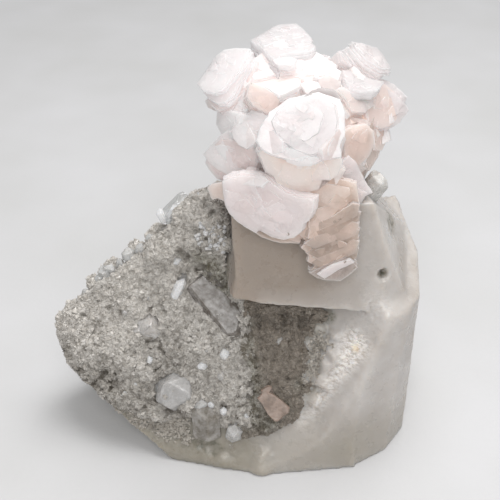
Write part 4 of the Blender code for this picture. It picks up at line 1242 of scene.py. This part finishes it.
def roughenQuartz(obj):
    points, normals = pointsOf(obj)
    height = 0.0
    for rise, width, seed in quartz["waves"]:
        height = height + rise * ripple(points, width, seed)
    for centre, reach, depth, width in quartz["broken"]:
        inside = near(points, centre, reach)
        close = inside > 0
        height[close] += depth * inside[close] * (chips(points[close], width, 4) - 0.3)
    back = np.clip(normals[:, 1] * 1.8 - 0.3, 0, 1)
    behind = back > 0
    steps = sum(rise * chips(points[behind], width, seed) for rise, width, seed in quartz["backSteps"])
    height[behind] += back[behind] * steps
    for centre, reach, rise in quartz["bulges"]:
        height += rise * near(points, centre, reach)
    height[(points[:, 2] < 0.3) & (normals[:, 2] < -0.7)] = 0
    moved = points + normals * height[:, None]
    moved[:, 2] = np.maximum(moved[:, 2], 0)
    setPoints(obj, moved)
    shadeByAngle(obj, 30)
    return points, normals


def paintQuartz(obj, points, normals):
    # the values that the look reads: painted shade, frost, brown with painted shade, stains with painted
    # shade, and a painted glint
    right, up = points[:, 0], points[:, 2]
    # painted shade: the rosette's shadow on the upper crystal's front, strongest high up and fading to the
    # right
    front = between(-normals[:, 1], 0.55, 0.95)
    paintedRosetteShadow = between(up, *quartz["dimUp"]) * between(right, *quartz["dimLeft"])
    wallPlace, wallReach = quartz["leftWall"]
    leftWall = 0.9 * between(-normals[:, 0], 0.7, 0.9) * near(points, wallPlace, wallReach)
    edgeSpots = [(place, *quartz["edgeShade"]) for place in quartz["leftEdge"]]
    paint(obj, "shade", points, edgeSpots, front * paintedRosetteShadow + leftWall)
    paint(obj, "frost", points, quartz["frost"])
    # painted shade in the brown tone: on faces that look down, and towards the bottom
    under = np.clip(-normals[:, 2] * 1.4 - 0.2, 0, 1) * between(right, *quartz["undersideLeft"])
    low = (0.6 + 0.4 * between(right, *quartz["lowShadeLeft"])) * between(up, *quartz["lowShadeDown"])
    paint(obj, "brown", points, quartz["brown"], under + low)
    # painted shade: the stain tone also darkens the low band towards the left
    paint(obj, "stain", points, quartz["stain"], 0.35 * low * between(right, *quartz["stainShadeLeft"]))
    paint(obj, "glow", points, quartz["glow"])


def makeQuartz():
    obj = quartzBody()
    points, normals = roughenQuartz(obj)
    paintQuartz(obj, points, normals)
    up = points[:, 2]
    bare = 1 - np.clip(2 * near(points, *quartz["bare"]), 0, 1)
    facing = np.clip(outwardShare(normals) * 2 - 0.6, 0, 1)
    spots = np.clip(leftFaceSpots(points, quartz["grains"]), 0, 1)
    storeValue(obj, "grainShare", bare * (up > 1.2) * facing * spots)
    growGrains(obj, "low_band_grains", *quartz["lowGrains"])
    patches = np.clip(ripple(points, 11.0, 7) * 3 - 0.1, 0, 1) * between(up, *quartz["backGrainsDown"])
    storeValue(obj, "grainShare", np.clip(normals[:, 1] * 2, 0, 1) * patches * (up > 1.4))
    growGrains(obj, "back_grains", *quartz["backGrains"])
    finishPiece(obj, looks["quartz"], "milky_quartz", "milky_quartz")


makeQuartz()


# The grey crusts: lumpy sheets with thousands of small crystals grown on them.

seamSwell = {"x": -0.2, "reach": 2.2, "rise": 0.7}       # side faces near this X swell towards the quartz
crusts = {
    "druse_crust": {
        "open": [(1.7, 41.6, 4.4, 1.3), (4.4, 38.4, 4.0, 1.3), (-1.4, 43.8, 2.8, 0.9)],
        "stones": [          # right, up, out, size on the left face
            (-5.0, 15.0, -0.6, 3.6), (-5.6, 35.4, 0.1, 1.5), (-10.8, 27.8, -0.6, 2.9),
            (2.4, 11.9, -0.3, 1.7), (9.2, 7.2, -0.4, 1.9), (8.8, 31.6, 0.5, 1.1), (9.2, 29.4, 0.5, 1.4),
            (9.0, 27.0, 0.6, 1.3), (9.7, 24.8, 0.5, 1.6), (9.4, 22.4, 0.6, 1.3), (10.2, 20.4, 0.5, 1.6),
            (9.8, 18.2, 0.6, 1.3), (10.8, 16.2, 0.4, 1.7), (10.2, 14.0, 0.6, 1.3), (11.2, 12.0, 0.4, 1.6),
            (10.9, 9.8, 0.5, 1.3), (12.6, 17.0, 0.1, 1.3), (12.0, 24.0, 0.1, 1.2), (-0.3, 48.9, 4.2, 1.2),
            (2.0, 48.2, 4.2, 1.4), (-3.4, 47.9, 3.4, 1.1), (3.6, 46.4, 3.2, 1.1), (4.6, 47.8, 3.2, 1.2),
            (-1.6, 50.6, 4.2, 1.2), (0.8, 51.0, 4.2, 1.3), (-5.8, 46.2, 2.2, 0.9), (-8.0, 33.0, 0.9, 1.2),
            (-13.4, 35.6, 0.9, 1.1), (-3.6, 22.6, 0.9, 1.2), (-17.0, 22.4, 0.9, 1.3), (2.8, 21.4, 0.9, 1.3),
            (-22.0, 24.0, 0.9, 1.2), (-9.4, 14.0, 0.9, 1.1), (5.6, 14.6, 0.9, 1.2), (-2.4, 31.0, 0.9, 1.1),
            (6.6, 21.4, 0.9, 1.3), (-26.6, 20.4, 0.8, 1.1), (-12.2, 19.6, 0.8, 1.2),
            (-29.0, 29.8, -2.0, 1.9), (-26.4, 32.0, -0.9, 1.4), (-24.2, 34.8, -2.2, 2.3),
            (-21.4, 38.0, -1.2, 1.6), (-20.0, 38.6, -2.6, 2.2), (-16.8, 42.4, -1.0, 1.5),
            (-15.0, 43.0, -2.4, 2.5), (-12.0, 46.4, -1.3, 1.3), (-10.4, 48.0, -2.4, 2.2),
            (-7.2, 51.0, -1.0, 1.5), (-5.4, 52.6, -2.2, 2.0), (-2.4, 55.8, -0.6, 1.5),
        ],
        "look": "druse",
        "slot": "druse",
        "voxel": 0.33,
        "seed": 3,
        "lumps": ((5.5, 0.8), (2.4, 0.60), (0.9, 0.22)),      # width and height, mm
        "pits": 0.6,
        # grains' least and largest size in mm, how many per square mm, and lean
        "fine": ((0.32, 0.62), 13.0, 1.5),
        "coarse": ((0.7, 1.35), 2.0, 1.2),
        # painted shade: spots where the crust is darkened as shaded hollows, also along the edge by the
        # pocket
        "hollows": [         # right, up, reach, strength on the left face
            (-4.8, 45.0, 1.8, 1.2), (-3.1, 43.2, 1.9, 1.3), (-1.2, 41.2, 1.9, 1.3), (0.7, 39.2, 1.8, 1.2),
            (2.2, 37.2, 1.7, 1.0), (3.4, 38.4, 2.2, 0.7), (5.0, 39.6, 1.6, 0.6), (-0.6, 45.6, 1.6, 0.8),
            (1.4, 53.2, 1.6, 0.9), (3.4, 51.2, 1.6, 1.0), (5.0, 49.2, 1.8, 1.1), (5.2, 45.6, 1.5, 1.0),
            (0.2, 54.8, 1.4, 0.6), (-0.9, 35.0, 1.4, 1.0), (1.2, 33.0, 1.4, 1.0), (3.3, 31.0, 1.4, 1.0),
            (5.5, 29.0, 1.4, 1.0), (7.5, 27.2, 1.4, 1.0), (-5.0, 10.6, 2.4, 0.9), (-2.2, 9.6, 2.0, 0.8),
            (-8.0, 12.0, 1.6, 0.6), (-26.5, 16.5, 3.0, 0.7), (-23.0, 12.8, 3.0, 0.7),
            (-19.0, 9.6, 3.0, 0.6), (-7.5, 31.6, 1.2, 0.9), (-11.0, 24.6, 1.4, 0.8), (-7.6, 26.4, 1.0, 0.7),
            (-16.5, 34.2, 1.2, 0.7), (-20.0, 31.0, 1.2, 0.6), (6.8, 12.2, 1.4, 0.9), (4.6, 14.6, 1.2, 0.8),
            (-4.2, 38.6, 1.6, 0.7), (-3.0, 32.0, 1.2, 0.6), (-20.0, 16.0, 9.0, 0.5),
            (-13.0, 11.0, 7.0, 0.5), (-5.0, 20.0, 8.0, 0.3), (-8.0, 23.0, 7.0, 0.25),
            (10.6, 30.0, 2.8, 0.7), (10.8, 26.0, 2.8, 0.7), (11.0, 22.0, 2.8, 0.7), (11.2, 18.0, 2.8, 0.6),
            (11.6, 14.0, 2.6, 0.5), (-29.5, 20.5, 3.0, 0.8), (-26.0, 14.5, 3.0, 0.6),
        ],
        # whiter crystals with a painted sparkle on the ledge
        "pale_and_painted_sparkle": [(1.8, 49.2, 4.2, 1.2), (0.4, 48.8, 3.0, 1.0), (2.4, 47.4, 2.6, 1.0),
                   (-1.6, 47.4, 3.0, 0.9), (-4.6, 48.6, 3.0, 0.6), (1.8, 51.0, 2.4, 0.6)],
        "smooth": [(1.7, 41.6, 4.6, 0.6), (4.4, 38.4, 4.2, 0.6), (-1.4, 43.8, 2.8, 0.5),
                   (-22.0, 30.0, 9.0, 0.45), (-30.0, 22.0, 9.0, 0.4), (-14.0, 38.0, 9.0, 0.5),
                   (-7.0, 46.0, 7.0, 0.4)],
        "sunk": [(1.7, 41.4, 4.4, 1.6), (4.2, 38.4, 4.0, 1.5), (-2.0, 43.6, 3.0, 1.2)],
    },
    "pocket_druse": {
        # lighter olive towards the crust, where the pocket's painted shade fades
        "open": [(10.4, 30.5, 2.4, 0.8), (10.8, 26.5, 3.2, 0.8), (11.2, 22.5, 4.0, 0.9),
                 (11.6, 18.5, 4.8, 0.9), (12.0, 14.5, 5.2, 0.9), (12.6, 10.5, 5.6, 0.9),
                 (22.5, 18.9, 2.6, 0.8),
                 (16.9, 9.6, 3.4, 1.0), (19.8, 13.2, 2.4, 0.8), (25.0, 26.6, 2.6, 0.8)],
        "stones": [(14.6, 27.0, 0.2, 1.2), (17.4, 22.6, 0.2, 1.3), (19.6, 28.4, 0.1, 1.2),
                   (15.6, 17.4, 0.2, 1.1)],
        "look": "pocket",
        "slot": "pocket_druse",
        "voxel": 0.33,
        "seed": 8,
        "lumps": ((3.0, 0.45), (1.4, 0.40), (0.7, 0.20)),
        "pits": 0.55,
        "fine": ((0.3, 0.6), 11.0, 1.5),
        "coarse": ((0.6, 1.1), 1.4, 1.2),
        # painted shade in the pocket's upper hollows
        "hollows": [(12.0, 31.5, 3.0, 0.8), (17.0, 32.0, 4.0, 0.8), (22.0, 32.0, 3.0, 0.8),
                    (11.5, 17.0, 3.0, 0.5)],
        "pale_and_painted_sparkle": [],
        "smooth": [],
        "sunk": [],
    },
}


def makeCrust(node, facts):
    bed = shapeOfNode(node)
    for index, (right, up, out, size) in enumerate(facts["stones"]):
        stone = blockShape(size, random.Random(index + 40))
        place = leftFaceFrame() @ Matrix.Translation((right, up, out))
        stone.transform(place @ Matrix.Rotation(index * 0.9, 4, "X"))
        addShape(bed, stone)
    obj = addObject(node + "_bed", bed)
    remesh(obj, facts["voxel"])
    points, normals = pointsOf(obj)
    seed = facts["seed"]
    smooth = np.clip(leftFaceSpots(points, facts["smooth"]), 0, 1)
    mottle = 0.75 + 0.9 * ripple(points, 1.3, seed + 6)
    hollow = np.clip(leftFaceSpots(points, facts["hollows"]) * mottle, 0, 1)
    lumps = sum(height * ripple(points, width, seed + place)
                for place, (width, height) in enumerate(facts["lumps"]))
    patches = np.clip(ripple(points, 7.0, seed + 4) * 2 + 0.6, 0.15, 1) * (1 - 0.7 * smooth)
    pits = np.clip(-ripple(points, 1.1, seed + 9) * 2.4 - 0.5, 0, 1) * patches
    seam = near(points[:, :1], (seamSwell["x"],), seamSwell["reach"]) * (np.abs(normals[:, 0]) > 0.5)
    fall = (leftFaceSpots(points, facts["sunk"]) + 0.5 * hollow) * np.clip(outwardShare(normals), 0, 1)
    rise = (lumps - facts["pits"] * pits) * (1 - 0.8 * smooth) - fall + seamSwell["rise"] * seam
    setPoints(obj, points + normals * rise[:, None])
    storeValue(obj, "open", np.clip(leftFaceSpots(points, facts["open"]), 0, 1))
    # painted shade: darker in pits, hollows and towards the bottom, lighter on lumps
    low = 0.36 * between(points[:, 2], 26, 4)
    storeValue(obj, "hollow", np.clip(pits * 0.65 - lumps * 0.3 + hollow * 0.9 + low, 0, 1))
    # whiter crystals and painted sparkle
    pale_and_painted_sparkle = leftFaceSpots(points, facts["pale_and_painted_sparkle"])
    storeValue(obj, "tint", 0.25 + 0.25 * ripple(points, 0.7, seed + 11) + 0.7 * pale_and_painted_sparkle)
    facing = np.clip(outwardShare(normals) + 0.6, 0, 1)
    share = facing * np.clip(1 - pits * 1.2, 0, 1) * (1 - smooth) * (1 - 0.6 * hollow)
    storeValue(obj, "grainShare", share)
    shadeByAngle(obj, 35)
    growGrains(obj, node + "_fine", facts["look"], facts["slot"], *facts["fine"], seed)
    growGrains(obj, node + "_coarse", facts["look"], facts["slot"], *facts["coarse"], seed + 1)
    finishPiece(obj, looks[facts["look"]], facts["slot"], node)


for node, facts in crusts.items():
    makeCrust(node, facts)


# Larger crystals on the crust. Places are on the left face: right, up, sunk.

smallCrystals = {
    # name: place, lean (right, up, out), radius, length, squeeze, look, slot
    "clear_quartz_large": ((-4.0, 13.4, 1.2), (-0.30, 0.42, 0.84), 4.7, 6.4, 0.92, "frosted",
                           "clear_quartz"),
    "clear_quartz_front": ((9.2, 7.2, 0.9), (0.10, -0.20, 0.97), 2.3, 4.6, 0.85, "pale", "clear_quartz"),
    "clear_quartz_low": ((2.4, 11.9, 0.6), (-0.20, -0.15, 0.97), 2.0, 4.0, 0.80, "pale", "clear_quartz"),
    "clear_quartz_ridge": ((-9.2, 50.8, 0.5), (0.66, 0.74, 0.12), 2.6, 7.6, 0.85, "clear", "clear_quartz"),
    "clear_quartz_ridge_low": ((-20.6, 36.4, 0.2), (-0.50, 0.80, 0.33), 1.9, 4.2, 0.70, "mist",
                               "clear_quartz"),
    "grey_quartz_sunken": ((-10.8, 27.8, 0.6), (0.25, 0.15, 0.95), 3.5, 4.0, 0.85, "grey", "grey_quartz"),
    "quartz_tablet": ((-5.8, 34.8, -1.3), (0.38, 0.90, 0.20), 1.7, 5.0, 0.75, "white", "grey_quartz"),
    "brown_quartz_low": ((3.2, 5.0, 0.9), (-0.06, 0.93, 0.36), 3.3, 9.0, 0.80, "brown", "grey_quartz"),
    "quartz_lath": ((-1.0, 39.0, 1.9), (0.70, -0.70, 0.06), 5.9, 17.0, 0.62, "lath", "grey_quartz"),
}
# at the rosette's right foot; its place and direction are in the tables' millimetres
sideCrystal = ((22.6, -2.6, 56.4), (0.50, -0.05, 0.86), 3.0, 7.2, 0.8, "side", "clear_quartz")
scattered = {
    # place on the left face, lean, radius, length
    "white": [
        ((1.1, 20.1, -0.6), (0.3, 0.5, 0.8), 1.2, 1.9), ((-10.2, 20.6, -0.8), (0.6, 0.2, 0.8), 1.3, 1.7),
        ((-15.0, 12.5, -1.0), (-0.4, -0.2, 0.9), 1.0, 1.5), ((-13.0, 14.5, -1.0),
        (0.4, 0.4, 0.8), 0.8, 1.2),
        ((-0.7, 50.6, -4.6), (0.2, -0.2, 0.95), 0.7, 1.3), ((0.5, 51.4, -4.4), (-0.3, 0.1, 0.9), 0.6, 1.2),
        ((1.8, 50.7, -4.6), (0.4, -0.3, 0.85), 0.6, 1.3), ((3.0, 50.0, -4.4), (0.1, 0.4, 0.9), 0.7, 1.2),
        ((0.7, 49.4, -4.8), (-0.2, -0.4, 0.9), 0.7, 1.3), ((2.2, 48.8, -4.8), (0.3, 0.2, 0.9), 0.8, 1.3),
        ((3.7, 48.1, -4.6), (0.3, 0.0, 0.95), 0.6, 1.3), ((4.6, 47.0, -4.4), (0.0, 0.4, 0.9), 0.6, 1.3),
        ((3.0, 46.8, -4.6), (-0.3, 0.2, 0.9), 0.6, 1.1), ((4.3, 45.7, -4.2), (0.3, -0.2, 0.9), 0.7, 1.1),
        ((-0.9, 48.6, -4.6), (0.0, 0.3, 0.95), 0.5, 1.1), ((1.4, 47.6, -4.8), (0.2, 0.5, 0.85), 0.5, 1.1),
        ((11.6, 8.4, -0.4), (0.1, 0.9, 0.4), 1.0, 3.6), ((6.8, 11.0, -0.6), (-0.3, 0.4, 0.8), 1.1, 1.9),
        ((-5.9, 42.4, -1.0), (0.5, 0.3, 0.8), 1.6, 1.6), ((-11.4, 33.8, -1.2), (0.1, 0.3, 0.9), 0.6, 0.9),
        ((6.0, 23.2, -0.7), (0.2, -0.3, 0.9), 1.7, 1.5), ((3.4, 12.4, -0.4), (0.5, 0.1, 0.8), 1.3, 2.2),
        ((-7.4, 52.2, -1.4), (0.5, 0.7, 0.5), 1.5, 3.2), ((-9.4, 51.0, -1.0), (-0.5, 0.8, 0.3), 1.3, 2.8),
        ((-2.0, 56.0, -3.6), (0.1, 0.8, 0.5), 0.9, 1.6),
    ],
    "mist": [
        ((-16.4, 42.4, -0.6), (-0.2, 0.9, 0.3), 1.7, 2.2), ((-14.2, 43.8, -0.6), (0.3, 0.8, 0.4), 1.4, 1.9),
        ((-20.6, 38.8, -0.5), (0.2, 0.9, 0.3), 1.6, 1.8), ((-22.8, 36.6, -0.5), (-0.4, 0.8, 0.4), 1.2, 1.4),
        ((-12.0, 46.4, -0.6), (-0.3, 0.8, 0.3), 1.2, 1.5), ((-25.4, 33.4, -0.5),
        (-0.3, 0.8, 0.5), 1.1, 1.3),
        ((-18.4, 40.4, -0.6), (0.2, 0.8, 0.5), 1.2, 1.5),
    ],
    "grey": [
        ((-16.1, 30.4, -0.8), (-0.2, 0.1, 0.9), 1.4, 1.6), ((-13.2, 26.6, -0.8),
        (-0.5, -0.2, 0.8), 1.8, 1.6),
        ((5.8, 19.0, -0.8), (-0.1, 0.2, 0.9), 2.0, 1.4), ((1.9, 24.0, -0.6), (0.3, -0.2, 0.9), 1.5, 1.6),
        ((-14.6, 32.2, -1.0), (0.1, 0.5, 0.8), 1.0, 1.1), ((8.2, 18.4, -0.8), (0.4, 0.1, 0.9), 1.4, 1.2),
        ((17.5, 27.8, -0.8), (0.0, 0.1, 1.0), 1.9, 1.2), ((0.2, 17.6, -1.0), (0.3, 0.2, 0.9), 0.9, 1.2),
    ],
}
glints = {
    "look": "white",
    "middle": (1.7, 48.8),       # right and up on the left face
    "reach": 3.4,
    "out": (3.9, 4.5),
    "radius": (0.3, 0.5),
    "length": 1.3,
    "count": 46,
    "seed": 8,
}
flake = {
    "middle": (4.6, -19.8, 16.6),
    "facing": (-4, 36),
    "thickness": 0.9,
    "tooth": 0.2,
    "inset": 0.25,
    "seed": 4,
    "outline": [(-3.2, 1.0), (-2.3, 2.0), (-2.5, 2.9), (-1.0, 3.9), (-0.2, 3.7), (-0.8, 2.5), (0.4, 2.0),
                (2.2, 0.8), (3.8, -0.6), (3.6, -1.7), (2.4, -2.6), (1.6, -3.5), (0.8, -3.7), (-0.8, -2.3),
                (-2.0, -0.4)],
}


def joinShapes(name, shapes):
    # grows separate shapes together into one closed mesh
    rest = newGroup(name)
    first = addObject(name, shapes[0])
    for shape in shapes[1:]:
        addObject(name, shape, rest)
    return growTogether(first, rest)


def glintRows():
    # the many tiny crystals that sparkle on the ledge
    dice = random.Random(glints["seed"])
    for _ in range(glints["count"]):
        angle, away = dice.uniform(0, 2 * math.pi), glints["reach"] * math.sqrt(dice.random())
        right, up = glints["middle"]
        place = (right + away * math.cos(angle), up + away * math.sin(angle), -dice.uniform(*glints["out"]))
        lean = (dice.uniform(-0.5, 0.5), dice.uniform(-0.3, 0.6), 0.9)
        yield place, lean, dice.uniform(*glints["radius"]), glints["length"]


def makeNamedCrystals():
    for index, (name, row) in enumerate(smallCrystals.items()):
        place, lean, radius, length, squeeze, look, slot = row
        foot, direction = onLeftFace(place, lean)
        turn = index * 0.35 + 0.52
        shape = crystalShape(foot, direction, radius, length, squeeze, turn, random.Random(name), 0.84)
        finishPiece(addObject(name + "_grown", shape), looks[look], slot, name)
    foot, direction, radius, length, squeeze, look, slot = sideCrystal
    shape = crystalShape(foot, direction, radius, length, squeeze, 0.5, random.Random("side"))
    finishPiece(addObject("clear_quartz_side_grown", shape), looks[look], slot, "clear_quartz_side")


def makeScattered(sunk=0.6):
    # crystals too small for solids, each with its foot this far below its place, mm
    for look, rows in scattered.items():
        if look == glints["look"]:
            rows = rows + list(glintRows())
        shapes = []
        for index, (place, lean, radius, length) in enumerate(rows):
            foot, direction = onLeftFace(place, lean)
            foot -= direction.normalized() * sunk
            turn, dice = index * 0.7, random.Random(index)
            shapes.append(crystalShape(foot, direction, radius, length + sunk, 0.85, turn, dice))
        finishPiece(joinShapes("scattered_" + look, shapes), looks[look], "grey_quartz")


def makeFlake():
    outline = steppedOutline(flake["outline"], flake["tooth"], random.Random(flake["seed"]))
    shape = plateShape(outline, flake["thickness"], flake["inset"])
    shape.transform(standOn(flake["middle"], directionOf(*flake["facing"])))
    finishPiece(addObject("calcite_flake_broken", shape), looks["flake"], "tan_calcite", "calcite_flake")


makeNamedCrystals()
makeScattered()
makeFlake()


# The stage: a pale sheet, soft light from above and behind, and the photo's camera angle.

stage = {
    "sheetSize": 4000,                 # mm from the middle to an edge
    "seenFrom": (0.01, 20),            # the nearest and farthest that the camera sees, metres
    "sheetTones": ((0.3, (0.59, 0.59, 0.59)), (0.7, (0.635, 0.635, 0.645))),
    "roomColour": (0.99, 0.99, 1.0),
    "roomLight": 0.36,
    "lights": [
        # name, place and size in mm in the frame, watts, colour
        ("overhead", (95, 45, 520), 350, 2.15, (1.0, 0.995, 0.985)),
        ("front_fill", (10, -500, 440), 370, 1.9, (1.0, 0.99, 0.98)),
    ],
}
target = Vector([a + b for a, b in zip(photoView["target"], tablesOrigin)]) * mm


def aimed(name, data, place):
    # a lamp or the camera, turned towards the specimen
    obj = bpy.data.objects.new(name, data)
    obj.location = place
    obj.rotation_euler = (target - obj.location).to_track_quat("-Z", "Y").to_euler()
    scene.collection.objects.link(obj)
    return obj


def makeSheet():
    look = Look("pale_sheet", {"Roughness": 0.9})
    tone = look.ramp(look.cloud(40, 2), stage["sheetTones"])
    floor = bmesh.new()
    bmesh.ops.create_grid(floor, x_segments=1, y_segments=1, size=stage["sheetSize"])
    sheet = addObject("pale_sheet", floor)
    sheet.data.materials.append(look.finish(tone, look.bump(look.cloud(1.2, 2), 0.05)))


def makeLights():
    for name, place, size, watts, colour in stage["lights"]:
        light = bpy.data.lights.new(name, "AREA")
        light.size = size * mm
        light.energy = watts
        light.color = colour
        aimed(name, light, Vector(place) * mm)
    world = bpy.data.worlds.new("room")
    world.use_nodes = True
    background = world.node_tree.nodes["Background"]
    background.inputs["Color"].default_value = (*stage["roomColour"], 1)
    background.inputs["Strength"].default_value = stage["roomLight"]
    scene.world = world


def makeCamera():
    camera = bpy.data.cameras.new("camera")
    camera.lens = photoView["lens"]
    camera.sensor_width = photoView["sensor"]
    camera.clip_start, camera.clip_end = stage["seenFrom"]
    away = Vector((0, -math.cos(viewRise), math.sin(viewRise))) * photoView["distance"] * mm
    scene.camera = aimed("camera", camera, target + away)
    scene.view_settings.view_transform = "Standard"


makeSheet()
makeLights()
makeCamera()
print("stage set")
